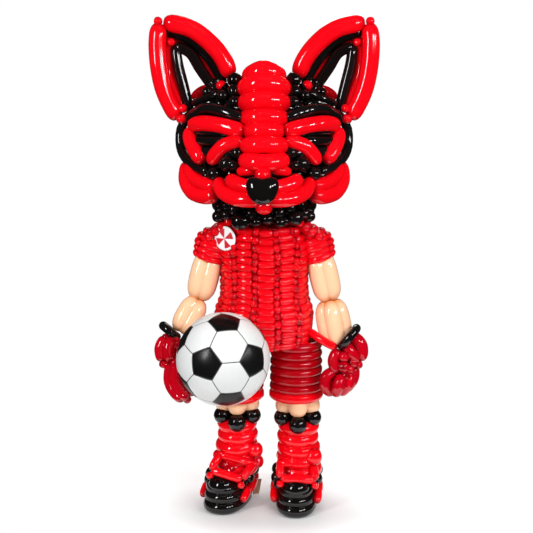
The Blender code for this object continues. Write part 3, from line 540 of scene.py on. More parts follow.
snoutLoops = (  # reach along Y, height, overall width, balloon width and how far the ends droop
    (-0.122, 1.83, 0.166, 0.082, 0.022),
    (-0.146, 1.783, 0.202, 0.08, 0.02),
    (-0.178, 1.718, 0.199, 0.075, 0.012),
    (-0.206, 1.652, 0.184, 0.068, 0.006),
    (-0.234, 1.603, 0.16, 0.062, 0.004),
    (-0.262, 1.549, 0.179, 0.068, 0.006),
    (-0.292, 1.482, 0.188, 0.067, -0.004),
)


def snoutLoop(reach, height, wide, thick, droop):
    # a balloon bowed across the snout, its ends bent back to the head
    half = (wide - thick) / 2
    bend = [(-half + 0.004, reach + 0.105, height - droop)]
    bend += [(-half - 0.006, reach + 0.05, height - droop * 0.9)]
    bend += [(-0.62 * half, reach + 0.008, height - 0.35 * droop), (0, reach, height)]
    points = bend + [(-x, y, z) for x, y, z in bend[-2::-1]]
    return balloon(fromAxis(points), thick, 22, 22, 8, belly=0.02, flute=0.03)


for number, loop in enumerate(snoutLoops, 1):
    latexPiece(f"snoutLoop{number}", [snoutLoop(*loop)], "redLatex", [f"snout_loop_{number}"])

nose = {
    "centre": (-0.006, -0.367, 1.385),
    "size": (0.124, 0.074, 0.108),
    "tie": ((-0.006, -0.352, 1.388), (-0.005, -0.318, 1.394), (-0.004, -0.268, 1.4)),  # into the snout
    "tieWidth": 0.036,
}


def noseShape():
    # unit ball (x, y, z) pulled to a rounded heart:
    # x (1 + 0.14 z), y, 0.9 z + 0.3 (1 + z) √(x² + 0.01) - 0.15
    rise = np.linspace(-0.495, 0.495, 25)[:, None] * math.pi
    turn = np.linspace(0, 2 * math.pi, 33)[None, :-1]
    x, y, z = np.cos(rise) * np.cos(turn), np.cos(rise) * np.sin(turn), np.sin(rise) + 0 * turn
    lobes = 0.9 * z + 0.3 * (1 + z) * np.sqrt(x**2 + 0.01) - 0.15
    heart = np.stack([x * (1 + 0.14 * z), y + 0 * z, lobes], axis=-1)
    return grid(fromAxis(heart * np.array(nose["size"]) / 2 + nose["centre"]), swell=0.9)


noseShapes = [noseShape(), balloon(fromAxis(nose["tie"]), nose["tieWidth"])]
latexPiece("heartNose", noseShapes, "blackLatex", ["nose"])

bridgeBubble = {"centre": (-0.005, -0.306, 1.437), "width": 0.064}
bridgeTubes = (((0.03, -0.27, 1.452), (0.07, -0.255, 1.45), (0.1, -0.225, 1.442)), 0.038)


def bridge():
    made = [bubble(fromAxis(bridgeBubble["centre"]), bridgeBubble["width"], (1, 0, 0), around=18, ends=7)]
    points, width = bridgeTubes
    return made + [balloon(fromAxis(points, side), width) for side in sides]


latexPiece("noseBridge", bridge(), "redLatex", ["bridge"])

lips = {
    "lower": (((0.182, -0.16, 1.406), (0.164, -0.215, 1.369), (0.132, -0.255, 1.351), (0.082, -0.29, 1.341),
               (0.012, -0.31, 1.341)), 0.057),
    "upper": (((0.138, -0.21, 1.419), (0.104, -0.256, 1.398), (0.02, -0.3, 1.38)), 0.058),
    "chin": ((0, -0.298, 1.317), 0.066),
}


def mouth():
    made = [bubble(fromAxis(lips["chin"][0]), lips["chin"][1], (1, 0, 0), around=18, ends=7)]
    for side in sides:
        made += [onHead(*lips[lip], side, around=16, middle=14) for lip in ("lower", "upper")]
    return made


latexPiece("mouth", mouth(), "redLatex", ["muzzle"])

cheekBows = (  # the big bow below, and the smaller one inside it with how far it is lifted off the big one
    (((0.19, -0.18, 1.346), (0.239, -0.13, 1.34), (0.286, -0.09, 1.353), (0.314, -0.05, 1.398),
      (0.311, -0.01, 1.466)), 0.065, 0.0),
    (((0.289, -0.03, 1.464), (0.272, -0.08, 1.414), (0.239, -0.13, 1.388),
      (0.187, -0.17, 1.382)), 0.056, 0.012),
)
eyeLids = (  # upper, outer and lower
    (((0.078, -0.21, 1.598), (0.165, -0.17, 1.617), (0.23, -0.12, 1.622), (0.276, -0.05, 1.61)), 0.061),
    (((0.299, -0.05, 1.604), (0.293, -0.08, 1.558), (0.267, -0.11, 1.51), (0.234, -0.13, 1.476)), 0.06),
    (((0.21, -0.15, 1.47), (0.192, -0.17, 1.506), (0.157, -0.19, 1.541), (0.11, -0.2, 1.557),
      (0.08, -0.21, 1.561)), 0.055),
)
faceLines = (  # the black brow, and the black line round the eye to the cheek
    (((0.082, -0.17, 1.643), (0.15, -0.13, 1.662), (0.215, -0.08, 1.672), (0.277, -0.03, 1.664),
      (0.322, 0.02, 1.64)), 0.044),
    (((0.322, 0.02, 1.638), (0.343, 0.03, 1.59), (0.342, 0.02, 1.525), (0.315, -0.03, 1.478),
      (0.268, -0.09, 1.448), (0.22, -0.13, 1.436)), 0.038),
)
snoutSide = (  # black bubbles beside the snout
    ((0.197, -0.155, 1.43), 0.056), ((0.145, -0.19, 1.472), 0.064), ((0.105, -0.2, 1.515), 0.05),
    ((0.118, -0.215, 1.466), 0.04), ((0.228, -0.12, 1.42), 0.04),
)

for side in sides:
    bows = [balloon(ontoHead(fromAxis(p, side), w, -lift), w, 16, 14) for p, w, lift in cheekBows]
    latexPiece(f"cheekBows_{side}", bows, "redLatex", [f"cheek_{side}"])
    lids = [onHead(p, w, side, around=16, middle=12) for p, w in eyeLids]
    latexPiece(f"eyeFrame_{side}", lids, "redLatex", [f"eye_frame_{side}"])
    lines = [onHead(p, w, side, middle=12) for p, w in faceLines]
    latexPiece(f"faceLine_{side}", lines, "blackLatex", [f"face_line_{side}"])
    tilt = (sides[side], 0.3, -0.6)
    dark = [bubble(ontoHead(fromAxis(p, side), w), w, tilt, None, 20, 8) for p, w in snoutSide]
    latexPiece(f"snoutSide_{side}", dark, "blackLatex", [f"snout_side_{side}"])
print("the face is on")


# Ears

earTubes = {  # each group of set-out paths with its width
    "earRim": (
        (((0.423, 0.02, 2.02), (0.431, 0.02, 1.935), (0.424, 0.02, 1.836), (0.402, 0.02, 1.742),
          (0.352, 0.02, 1.638)), 0.07),
        (((0.338, 0.0, 1.66), (0.334, 0.0, 1.622)), 0.044),
    ),
    "earBow": (
        (((0.404, 0.02, 2.026), (0.362, 0.02, 2.018), (0.286, 0.02, 1.996), (0.213, 0.02, 1.94),
          (0.163, 0.025, 1.875), (0.132, 0.03, 1.798)), 0.071),
    ),
    "earLining": (
        (((0.402, 0.056, 1.992), (0.335, 0.06, 1.974), (0.276, 0.06, 1.942), (0.215, 0.06, 1.874),
          (0.165, 0.06, 1.785)), 0.046),
    ),
    "earLoop": (
        (((0.306, 0.05, 1.668), (0.336, 0.05, 1.79), (0.353, 0.05, 1.862), (0.362, 0.05, 1.935)), 0.045),
        (((0.364, 0.05, 1.934), (0.302, 0.05, 1.905), (0.262, 0.05, 1.843), (0.205, 0.05, 1.76)), 0.044),
    ),
    "earBack": (
        (((0.386, 0.07, 1.972), (0.396, 0.075, 1.836), (0.37, 0.07, 1.756), (0.335, 0.06, 1.675)), 0.05),
        (((0.38, 0.09, 1.945), (0.321, 0.095, 1.938), (0.264, 0.095, 1.892), (0.175, 0.08, 1.765)), 0.044),
        (((0.3, 0.13, 1.72), (0.26, 0.14, 1.752), (0.21, 0.13, 1.765)), 0.04),
    ),
}
earBubbles = {  # small round bubbles at the ear's corners
    "earRim": (((0.426, 0.02, 2.028), 0.036), ((0.33, 0.0, 1.682), 0.036)),
    "earBow": (((0.172, -0.01, 1.772), 0.042), ((0.376, 0.03, 1.946), 0.032)),
}

earFinishes = {
    "earRim": "redLatex",
    "earBow": "redLatex",
    "earLining": "blackLatex",
    "earLoop": "blackLatex",
    "earBack": "redLatex",
}

for side in sides:
    for part, finish in earFinishes.items():
        tubes = [onHead(p, w, side, around=14, middle=14) for p, w in earTubes[part]]
        tubes += [bubble(ontoHead(fromAxis(p, side), w), w) for p, w in earBubbles.get(part, ())]
        node = part.replace("ear", "ear_").lower() + f"_{side}"
        latexPiece(f"{part}_{side}", tubes, finish, [node])
print("the ears are up")


# Neck and shirt

shirtLow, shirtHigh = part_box("shirt")
neckBubbles = (  # set-out places and widths, front and sides
    ((-0.094, -0.15, 1.24), 0.074), ((-0.03, -0.155, 1.238), 0.038), ((0.014, -0.15, 1.25), 0.048),
    ((0.064, -0.15, 1.236), 0.044), ((0.124, -0.135, 1.252), 0.064), ((-0.152, -0.11, 1.262), 0.044),
    ((-0.186, -0.07, 1.25), 0.05), ((0.184, -0.07, 1.25), 0.046), ((-0.05, -0.14, 1.27), 0.05),
    ((0.06, -0.14, 1.274), 0.05), ((-0.178, -0.08, 1.292), 0.048), ((0.184, -0.075, 1.29), 0.046),
    ((0.162, -0.11, 1.268), 0.044), ((-0.12, -0.13, 1.287), 0.046), ((0.105, -0.135, 1.294), 0.044),
    ((-0.15, -0.1, 1.3), 0.05), ((0.15, -0.1, 1.3), 0.05), ((0.085, -0.14, 1.24), 0.034),
)
neckRings = (  # rings of mixed bubbles behind them: height, reach to the side and front, and how many
    (1.24, 0.172, 0.112, 17), (1.264, 0.178, 0.115, 18), (1.288, 0.186, 0.125, 18), (1.25, 0.1, 0.08, 9),
)


def neck():
    # the set-out bubbles in front, on rings of mixed bubbles that close the neck all round
    made = [bubble(fromAxis(p), w, (1, 0.3, draw.uniform(-0.4, 0.4)), None, 20, 8) for p, w in neckBubbles]
    for height, across, deep, count in neckRings:
        for k in range(count):
            turn = 2 * math.pi * k / count
            place = (across * math.cos(turn), deep * math.sin(turn) + 0.012, height)
            made.append(bubble(fromAxis(place), draw.uniform(0.054, 0.066), draw.normal(size=3)))
    return made


latexPiece("neck", neck(), "blackLatex", ["collar"])

shirt = {
    "rows": 18,
    "columns": 12,
    "depth": 0.72,
    "outline": (  # share of the height, and half the width there
        (0, 0.192), (0.12, 0.196), (0.28, 0.202), (0.42, 0.18), (0.62, 0.178), (0.84, 0.19), (1, 0.15),
    ),
    "dip": (0.016, 0.03),  # how far the rows hang lower in front than at the sides, at the hem and above it
    "between": 0.2,  # share of a column's pitch that is left to the tiny bubble between two long ones
    "tiny": 0.033,
    "inside": 0.014,  # how far the red liner lies inside the rows
}


def shirtRow(height, wide, deep, thick, dip, stagger):
    # long bubbles round an ellipse, x = wide sin v, y = -deep cos v, z = height - dip (1 + cos v) / 2,
    # every second one higher by stagger, with a tiny bubble between each two
    pitch = 2 * math.pi / shirt["columns"]
    made = []

    def at(v, lift, rise):
        v = np.asarray(v, float)
        x, y = (wide + lift) * np.sin(v), -(deep + lift) * np.cos(v)
        return fromAxis(np.stack([x, y, height + rise - dip * (1 + np.cos(v)) / 2], axis=-1))

    for k in range(shirt["columns"]):
        middle = pitch * (k + 0.08 + draw.uniform(-0.03, 0.03))
        reach = pitch * (1 - shirt["between"]) / 2 * draw.uniform(0.92, 1.06)
        lift, tilt = draw.uniform(-0.002, 0.002), draw.uniform(-0.003, 0.003)
        rise = stagger * (k % 2 - 0.5) + tilt * np.linspace(-1, 1, 4)
        path = at(np.linspace(middle - reach, middle + reach, 4), lift, rise)
        size = thick * draw.uniform(0.98, 1.1)
        made.append(balloon(path, size, 12, 2, 4, pinch=0.4, taper=0.5, belly=0.04, flute=0.04))
        aside = draw.uniform(-0.012, 0.012)
        place = at([middle + pitch / 2 + aside], draw.uniform(-0.002, 0.003), draw.uniform(-0.004, 0.004))
        size = shirt["tiny"] * draw.uniform(0.85, 1.1)
        made.append(bubble(place[0], size, draw.normal(size=3), around=8, ends=3))
    return made


def outlineAt(outline, share):
    shares, values = zip(*outline)
    return np.interp(share, shares, values)


def shirtBody():
    pitch = (shirtHigh.z - shirtLow.z) / shirt["rows"]
    made = []
    for row in range(shirt["rows"]):
        share = (row + 0.5) / shirt["rows"]
        wide = outlineAt(shirt["outline"], share) + 0.005 - pitch / 2
        deep = wide * (shirt["depth"] + 0.05 * share**3)
        dip = np.interp(share, (0, 0.15, 0.6, 1), (*shirt["dip"], shirt["dip"][1], 0.012))
        stagger = pitch / 2 if 0 < row < shirt["rows"] - 1 else pitch / 5
        made += shirtRow(shirtLow.z + pitch * (row + 0.5), wide, deep, pitch * 1.1, dip, stagger)
    for inner, rise in ((0.105, -0.004), (0.07, 0.004)):
        made += shirtRow(shirtHigh.z - pitch * 0.5 + rise, inner, inner * 0.75, pitch * 1.05, 0, 0)
    shares = np.linspace(0.0, 0.94, 20)
    turn = np.linspace(0, 2 * math.pi, 41)[:-1]
    inside = outlineAt(shirt["outline"], shares)[:, None] - shirt["inside"]
    heights = shirtLow.z + (shirtHigh.z - shirtLow.z) * shares[:, None] + 0 * turn
    inner = np.stack([inside * np.cos(turn), shirt["depth"] * inside * np.sin(turn), heights], axis=-1)
    made.append(grid(fromAxis(inner), swell=0.9))
    return made


latexPiece("shirtBody", shirtBody(), "redLatex", ["shirt"])

sleeve = {
    "top": (0.196, 0, 1.2),
    "cuff": (0.232, 0, 1.062),
    "rows": 5,
    "outline": ((0, 0.07), (0.45, 0.077), (0.65, 0.07), (0.8, 0.05)),
    "highest": 0.86,  # share of the way from the cuff to the shoulder that the rings reach
    "thick": 0.032,
    "collar": (0.118, 1.246),  # where the bubbles over the shoulder start, and where they end
    "tip": (0.236, 1.168),
    "yoke": (-0.06, -0.03, 0.0, 0.03, 0.06),  # place of each line of bubbles along Y
    "onYoke": 5,
    "filledWithin": 0.04,  # lines nearer to the middle than this have a plain balloon below them
}


def ringPath(centre, axis, wide, start, sweep, deep=None, count=9):
    # points on a circle or ellipse square to axis, from angle start over sweep; 0 points at -Y
    axis = np.asarray(axis, float) / np.linalg.norm(axis)
    front = np.array([0, -1.0, 0]) + axis * axis[1]
    front /= np.linalg.norm(front)
    across = np.cross(front, axis)
    v = (start + np.linspace(0, 1, count) * sweep)[:, None]
    return np.asarray(centre) + wide * np.sin(v) * across + (deep or wide) * np.cos(v) * front


def ringOf(centre, axis, wide, thick, number, start=0.0, gap=0.06, **shape):
    # a ring of balloons twisted end to end; gap is the share of each left to its twist
    sweep = 2 * math.pi / number
    count = max(5, 25 // number)
    made = []
    for k in range(number):
        path = ringPath(centre, axis, wide, start + sweep * (k + gap / 2), sweep * (1 - gap), count=count)
        made.append(balloon(path, thick, middle=max(3, 18 // number), **shape))
    return made


def sleeveRows(side):
    top, cuff = fromAxis(sleeve["top"], side), fromAxis(sleeve["cuff"], side)
    made = []
    for row in range(sleeve["rows"]):
        share = (row + 0.5) / sleeve["rows"] * sleeve["highest"]
        centre = cuff + (top - cuff) * share
        wide = outlineAt(sleeve["outline"], share) - sleeve["thick"] / 2
        axis = (top - cuff) + np.array([-sides[side] * 0.012, 0.0, 0.0])
        start = sides[side] * math.radians(-62) + draw.uniform(-0.12, 0.12)
        made += ringOf(centre, axis, wide, sleeve["thick"], 2, start, gap=0.1, around=12, belly=0.02)
        for end in (0, math.pi):
            middle = ringPath(centre, axis, wide + 0.003, start + end, 0.01, count=2)[0]
            made.append(bubble(middle, 0.028, (0, 0, 1), around=10, ends=4))
    made.append(bubble(cuff + (top - cuff) * 0.72, 0.07, (1, 0, 0), 0.09, 12, 4))
    core = cuff + (top - cuff) * 0.5
    made.append(bubble(core, 0.1, top - cuff, 0.12, 12, 4))
    return made


def yoke(side):
    # lines of round bubbles stepping down over the shoulder, with plain balloons below the middle ones
    (near, high), (far, low) = sleeve["collar"], sleeve["tip"]
    made = []
    for y in sleeve["yoke"]:
        bow = 1 - 1.6 * abs(y) ** 1.2
        half = ((near + far) / 2, y * 1.05, (high + low) / 2)
        path = np.array([(near, y * 1.15, high), half, (far * bow, y, low)])
        if abs(y) < sleeve["filledWithin"]:
            made.append(balloon(fromAxis(path - (0, 0, 0.02), side), 0.036, 12, 6, 4, flute=0.03))
        for share in np.linspace(0, 1, sleeve["onYoke"]):
            place = path[0] + (path[2] - path[0]) * share + draw.uniform(-0.002, 0.002, 3)
            made.append(bubble(fromAxis(place, side), 0.038, (1, 0, -0.6), around=12, ends=4))
    return made


for side in sides:
    latexPiece(f"sleeveRows_{side}", sleeveRows(side) + yoke(side), "redLatex", [f"sleeve_{side}"])
print("the shirt is woven")


# Arms

arms = {
    "elbow": {"left": (0.271, -0.02, 0.893), "right": (-0.272, -0.02, 0.898)},
    "topInsideSleeve": 0.03,
    "upper": {"bundle": 0.128, "each": 0.073, "count": 4, "turn": 42},
    "fore": {
        "left": {"bundle": 0.138, "each": 0.073, "count": 5, "turn": 0},
        "right": {"bundle": 0.119, "each": 0.069, "count": 4, "turn": 40},
    },
}
wrists = {"left": (0.31, -0.04, 0.7), "right": (-0.35, -0.055, 0.765)}


def bundleOf(start, end, bundle, each, count, turn, side):
    # balloons side by side round an axis: each lies 1.02 (bundle - each)/2 off it in the middle,
    # and 0.62 (bundle - each)/2 off it at its ends
    start, end = np.asarray(start, float), np.asarray(end, float)
    axis = (end - start) / np.linalg.norm(end - start)
    off = (bundle - each) / 2
    made = []
    for k in range(count):
        angle = math.radians(turn) + 2 * math.pi * k / count
        out = ringPath((0, 0, 0), -axis, 1.0, sides[side] * angle, 0.001, count=2)[0]
        points = [start + out * off * 0.62, start + (end - start) * 0.3 + out * off * 1.02]
        points += [start + (end - start) * 0.7 + out * off * 1.02, end + out * off * 0.62]
        wide = each * draw.uniform(0.97, 1.04)
        shape = balloon(points, wide, 20, 10, 7, pinch=0.22, taper=0.72, belly=0.06, flute=0.05)
        # painted shade: each balloon's side that faces the bundle's axis takes the thick, darker colour, in
        # the grooves between the balloons
        away = (shape["verts"] - start) - np.outer((shape["verts"] - start) @ axis, axis)
        depth = np.linalg.norm(away, axis=1) / (bundle / 2)
        shape["swell"] = shape["swell"] * np.clip((depth - 0.35) / 0.5, 0, 1) ** 0.7
        made.append(shape)
    return made


for side in sides:
    top, cuff = fromAxis(sleeve["top"], side), fromAxis(sleeve["cuff"], side)
    shoulder = cuff + (top - cuff) / np.linalg.norm(top - cuff) * arms["topInsideSleeve"]
    elbow = fromAxis(arms["elbow"][side])
    wrist = fromAxis(wrists[side])
    upper = bundleOf(shoulder, elbow, **arms["upper"], side=side)
    latexPiece(f"upperArm_{side}", upper, "skinLatex", [f"upper_arm_{side}"])
    fore = bundleOf(elbow, wrist, **arms["fore"][side], side=side)
    latexPiece(f"foreArm_{side}", fore, "skinLatex", [f"forearm_{side}"])

wristRings = {
    "left": {"centre": (0.35, -0.084, 0.752), "wide": 0.13, "faces": (0.77, -0.16, -0.64), "thick": 0.036},
    "right": {"centre": (-0.388, -0.09, 0.778), "wide": 0.106, "faces": (-0.64, -0.2, -0.77), "thick": 0.035},
}
for side, ring in wristRings.items():
    wide = (ring["wide"] - ring["thick"]) / 2
    made = ringOf(fromAxis(ring["centre"]), ring["faces"], wide, ring["thick"], 1, 2.2, 0.03, around=14)
    latexPiece(f"wristRing_{side}", made, "blackLatex", [f"wrist_{side}"])
print("the arms hang")


# Gloves

leftGlove = (  # thumb side, back of the hand, and curled fingers
    (((0.306, -0.1, 0.704), (0.286, -0.105, 0.656), (0.302, -0.11, 0.604)), 0.048),
    (((0.333, -0.095, 0.728), (0.358, -0.105, 0.69), (0.39, -0.09, 0.652)), 0.046),
    (((0.358, -0.07, 0.758), (0.398, -0.08, 0.716), (0.404, -0.07, 0.648)), 0.055),
    (((0.296, -0.095, 0.612), (0.256, -0.115, 0.592), (0.252, -0.115, 0.548), (0.285, -0.095, 0.511)), 0.047),
    (((0.318, -0.12, 0.602), (0.306, -0.142, 0.564), (0.292, -0.12, 0.512)), 0.048),
    (((0.352, -0.1, 0.606), (0.344, -0.115, 0.56), (0.314, -0.09, 0.51)), 0.048),
    (((0.376, -0.07, 0.628), (0.37, -0.078, 0.57), (0.334, -0.07, 0.516)), 0.044),
    (((0.27, -0.09, 0.585), (0.268, -0.1, 0.553), (0.284, -0.09, 0.53)), 0.042),
)
leftPalm = (
    ((0.328, -0.118, 0.676), 0.044), ((0.326, -0.122, 0.634), 0.05), ((0.366, -0.105, 0.648), 0.04),
    ((0.39, -0.09, 0.636), 0.036), ((0.352, -0.11, 0.622), 0.038), ((0.342, -0.07, 0.67), 0.075),
    ((0.376, -0.055, 0.665), 0.055), ((0.315, -0.075, 0.64), 0.06), ((0.336, -0.125, 0.598), 0.036),
    ((0.31, -0.075, 0.565), 0.075), ((0.352, -0.07, 0.62), 0.065), ((0.322, -0.08, 0.722), 0.052),
)
rightGlove = (  # back of the hand, then the long fingers that point down past the ball
    (((-0.404, -0.12, 0.762), (-0.426, -0.13, 0.716), (-0.418, -0.14, 0.662)), 0.044),
    (((-0.378, -0.13, 0.762), (-0.39, -0.15, 0.716), (-0.384, -0.15, 0.664)), 0.048),
    (((-0.384, -0.15, 0.652), (-0.384, -0.2, 0.6), (-0.358, -0.235, 0.558), (-0.322, -0.265, 0.537)), 0.044),
    (((-0.362, -0.15, 0.652), (-0.355, -0.22, 0.603), (-0.328, -0.265, 0.565), (-0.298, -0.29, 0.552)), 0.04),
    (((-0.372, -0.12, 0.66), (-0.345, -0.165, 0.6), (-0.31, -0.2, 0.567), (-0.282, -0.235, 0.554)), 0.04),
)
rightPalm = (
    ((-0.402, -0.115, 0.756), 0.036), ((-0.366, -0.12, 0.75), 0.036), ((-0.412, -0.145, 0.652), 0.034),
    ((-0.394, -0.15, 0.648), 0.038), ((-0.366, -0.15, 0.66), 0.04), ((-0.368, -0.11, 0.73), 0.06),
    ((-0.39, -0.09, 0.7), 0.06), ((-0.306, -0.27, 0.541), 0.032), ((-0.36, -0.1, 0.68), 0.065),
    ((-0.37, -0.11, 0.64), 0.05),
)
ballWidth = 1.02 * (ballHigh.z - ballLow.z)  # a bit more than the frame's ball, whose faces are flat
ballCentre = np.array((ballLow + ballHigh) / 2)


def besideBall(points, width):
    # moves only points that are too near straight out from the ball's middle, until the balloon
    # just touches the ball; points that are farther off stay where they are
    ways = fromAxis(points) - ballCentre
    away = np.linalg.norm(ways, axis=-1, keepdims=True)
    return ballCentre + ways / away * np.maximum(away, (ballWidth + width) / 2 - 0.001)


leftHand = [balloon(fromAxis(p), w, 14, 9, 5, flute=0.08) for p, w in leftGlove]
leftHand += [bubble(fromAxis(p), w, draw.normal(size=3)) for p, w in leftPalm]
latexPiece("fist_left", leftHand, "crimsonLatex", ["glove_left"])
rightHand = [balloon(besideBall(p, w), w, 14, 9, 5, flute=0.08) for p, w in rightGlove]
rightHand += [bubble(besideBall(p, w), w, draw.normal(size=3)) for p, w in rightPalm]
latexPiece("openHand_right", rightHand, "crimsonLatex", ["glove_right"])
tie = {"points": ((0.186, -0.04, 0.768), (0.24, -0.084, 0.737), (0.298, -0.105, 0.71)), "width": 0.034}
tieShapes = [balloon(fromAxis(tie["points"]), tie["width"]), bubble(fromAxis(tie["points"][0]), tie["width"])]
latexPiece("hipTie", tieShapes, "redLatex", ["hip_tie"])
print("the gloves are twisted")


# Ball

ball = {
    "firstPentagon": (-0.34, -0.93, 0.137),
    "secondPentagon": (0.665, -0.728, 0.163),
    "cornerCut": 0.352,  # where the panels' corners lie along an edge between two black panels' middles
    "seamDepth": 0.0016,
    "puff": 0.0012,
    "steps": (0, 0.015, 0.04, 0.08, 0.16, 0.28, 0.42, 0.58, 0.75, 0.88, 1),  # panel's side to its middle
    "perSide": 10,  # points along each side of a panel
}


def turnOnto(first, second, wantedFirst, wantedSecond):
    # the rotation that takes one pair of directions onto another
    def triad(a, b):
        a = np.asarray(a, float) / np.linalg.norm(a)
        b = np.asarray(b, float) - a * (a @ np.asarray(b, float))
        b /= np.linalg.norm(b)
        return np.stack([a, b, np.cross(a, b)], axis=1)

    return triad(wantedFirst, wantedSecond) @ triad(first, second).T


def ballPanels():
    # A twelve-pentagon, twenty-hexagon ball. Each panel is a fan of triangles from its middle to its sides;
    # a point at share w from a side (w = 1 in the middle) stands at radius + puff (1 - (1 - w)²) - groove.
    golden = (1 + math.sqrt(5)) / 2
    corners = np.array([[0, s, t * golden] for s in (-1, 1) for t in (-1, 1)])
    corners = np.vstack([np.roll(corners, k, axis=1) for k in range(3)]) / math.sqrt(1 + golden**2)
    near = corners @ corners.T
    edge = np.sort(near[0])[-2] - 1e-6
    neighbour = (near > edge) & (near < 1 - 1e-6)
    first, second = np.nonzero(neighbour)
    turn = turnOnto(corners[first[0]], corners[second[0]], ball["firstPentagon"], ball["secondPentagon"])
    corners = corners @ turn.T
    cut = ball["cornerCut"]
    thirds = corners[first] * (1 - cut) + corners[second] * cut  # one for each directed edge
    faces = [
        (a, b, c)
        for a in range(12)
        for b in range(a + 1, 12)
        for c in range(b + 1, 12)
        if neighbour[a, b] and neighbour[b, c] and neighbour[a, c]
    ]
    panels = [(corners[a], thirds[first == a], 1.0) for a in range(12)]
    for a, b, c in faces:
        keep = [i for i, (p, q) in enumerate(zip(first, second)) if p in (a, b, c) and q in (a, b, c)]
        panels.append((corners[[a, b, c]].mean(axis=0), thirds[keep], 0.0))
    steps = np.array(ball["steps"])
    made = []
    for middle, around, dark in panels:
        normal = middle / np.linalg.norm(middle)
        across = np.cross(normal, [0.3, 0.5, 0.81])
        across /= np.linalg.norm(across)
        angle = np.arctan2((around - middle) @ np.cross(normal, across), (around - middle) @ across)
        around = around[np.argsort(angle)]
        made.append(panelFan(middle, around, steps, dark))
    return made


def panelFan(middle, around, steps, dark):
    # rows of points from the panel's border to its middle, pushed out onto the ball
    share = (np.arange(ball["perSide"]) / ball["perSide"])[None, :, None]
    border = (around[:, None] * (1 - share) + np.roll(around, -1, axis=0)[:, None] * share).reshape(-1, 3)
    rows = border[None] * (1 - steps[:-1, None, None]) + middle * steps[:-1, None, None]
    rows /= np.linalg.norm(rows, axis=-1, keepdims=True)
    w = steps[:-1, None, None]
    rise = ball["puff"] * (1 - (1 - w) ** 2) - ball["seamDepth"] * np.exp(-((w / 0.03) ** 2))
    points = ballCentre + rows * (ballWidth / 2 - ball["puff"] + rise)
    columns = len(border)
    count = len(steps) - 1
    j, k = np.arange(columns), (np.arange(columns) + 1) % columns
    last = (count - 1) * columns
    tris = np.stack([last + j, last + k, np.full(columns, count * columns)], axis=1)
    top = ballCentre + middle / np.linalg.norm(middle) * ballWidth / 2
    verts = np.vstack([points.reshape(-1, 3), top])
    return {
        "verts": verts,
        "quads": quadRows(count, columns),
        "tris": tris,
        "dark": np.full(len(verts), dark),
        "seam": np.append(np.repeat(steps[:-1], columns), 1),
    }


def ballMaterial():
    # white or black by the attribute dark, a grey line where the attribute seam is near 0
    material, nodes, links = newMaterial("ballVinyl")
    dark, seam = nodes.new("ShaderNodeAttribute"), nodes.new("ShaderNodeAttribute")
    dark.attribute_name, seam.attribute_name = "dark", "seam"
    place = nodes.new("ShaderNodeTexCoord")
    scuff = nodes.new("ShaderNodeTexNoise")
    scuff.inputs["Scale"].default_value = 9
    scuff.inputs["Detail"].default_value = 6
    links.new(place.outputs["Object"], scuff.inputs["Vector"])
    white = nodes.new("ShaderNodeMix")
    white.data_type = "RGBA"
    white.inputs["A"].default_value = (0.72, 0.73, 0.72, 1)
    white.inputs["B"].default_value = (0.62, 0.63, 0.63, 1)
    links.new(scuff.outputs["Fac"], white.inputs["Factor"])
    panel = nodes.new("ShaderNodeMix")
    panel.data_type = "RGBA"
    panel.inputs["B"].default_value = (0.004, 0.004, 0.004, 1)
    links.new(dark.outputs["Fac"], panel.inputs["Factor"])
    links.new(white.outputs["Result"], panel.inputs["A"])
    line = nodes.new("ShaderNodeMapRange")
    line.inputs["From Min"].default_value = 0.024
    line.inputs["From Max"].default_value = 0.036
    line.inputs["To Min"].default_value = 1
    line.inputs["To Max"].default_value = 0
    links.new(seam.outputs["Fac"], line.inputs["Value"])
    seamed = nodes.new("ShaderNodeMix")
    seamed.data_type = "RGBA"
    seamed.inputs["B"].default_value = (0.08, 0.08, 0.08, 1)
    links.new(line.outputs["Result"], seamed.inputs["Factor"])
    links.new(panel.outputs["Result"], seamed.inputs["A"])
    rough = nodes.new("ShaderNodeMapRange")
    rough.inputs["To Min"].default_value = 0.16
    rough.inputs["To Max"].default_value = 0.42
    links.new(scuff.outputs["Fac"], rough.inputs["Value"])
    fine = nodes.new("ShaderNodeTexNoise")
    fine.inputs["Scale"].default_value = 55
    links.new(place.outputs["Object"], fine.inputs["Vector"])
    bump = nodes.new("ShaderNodeBump")
    bump.inputs["Strength"].default_value = 0.1
    bump.inputs["Distance"].default_value = 0.002
    links.new(fine.outputs["Fac"], bump.inputs["Height"])
    shader = nodes["Principled BSDF"]
    links.new(seamed.outputs["Result"], shader.inputs["Base Color"])
    links.new(rough.outputs["Result"], shader.inputs["Roughness"])
    links.new(bump.outputs["Normal"], shader.inputs["Normal"])
    shader.inputs["Specular IOR Level"].default_value = 0.3
    return material


addPiece("ballPanels", ballPanels(), ballMaterial(), ["ball"], ("dark", "seam"))
print("the ball is sewn")


# Shorts, knees and socks

legX = {"left": 0.135, "right": -0.115}  # middle of each shorts leg and sock top
ankles = {"left": (0.141, -0.01), "right": (-0.12, 0.02)}
shorts = {"rings": 7, "reach": 0.113, "hemThick": 0.045, "hemReach": 0.115, "inside": 0.078}


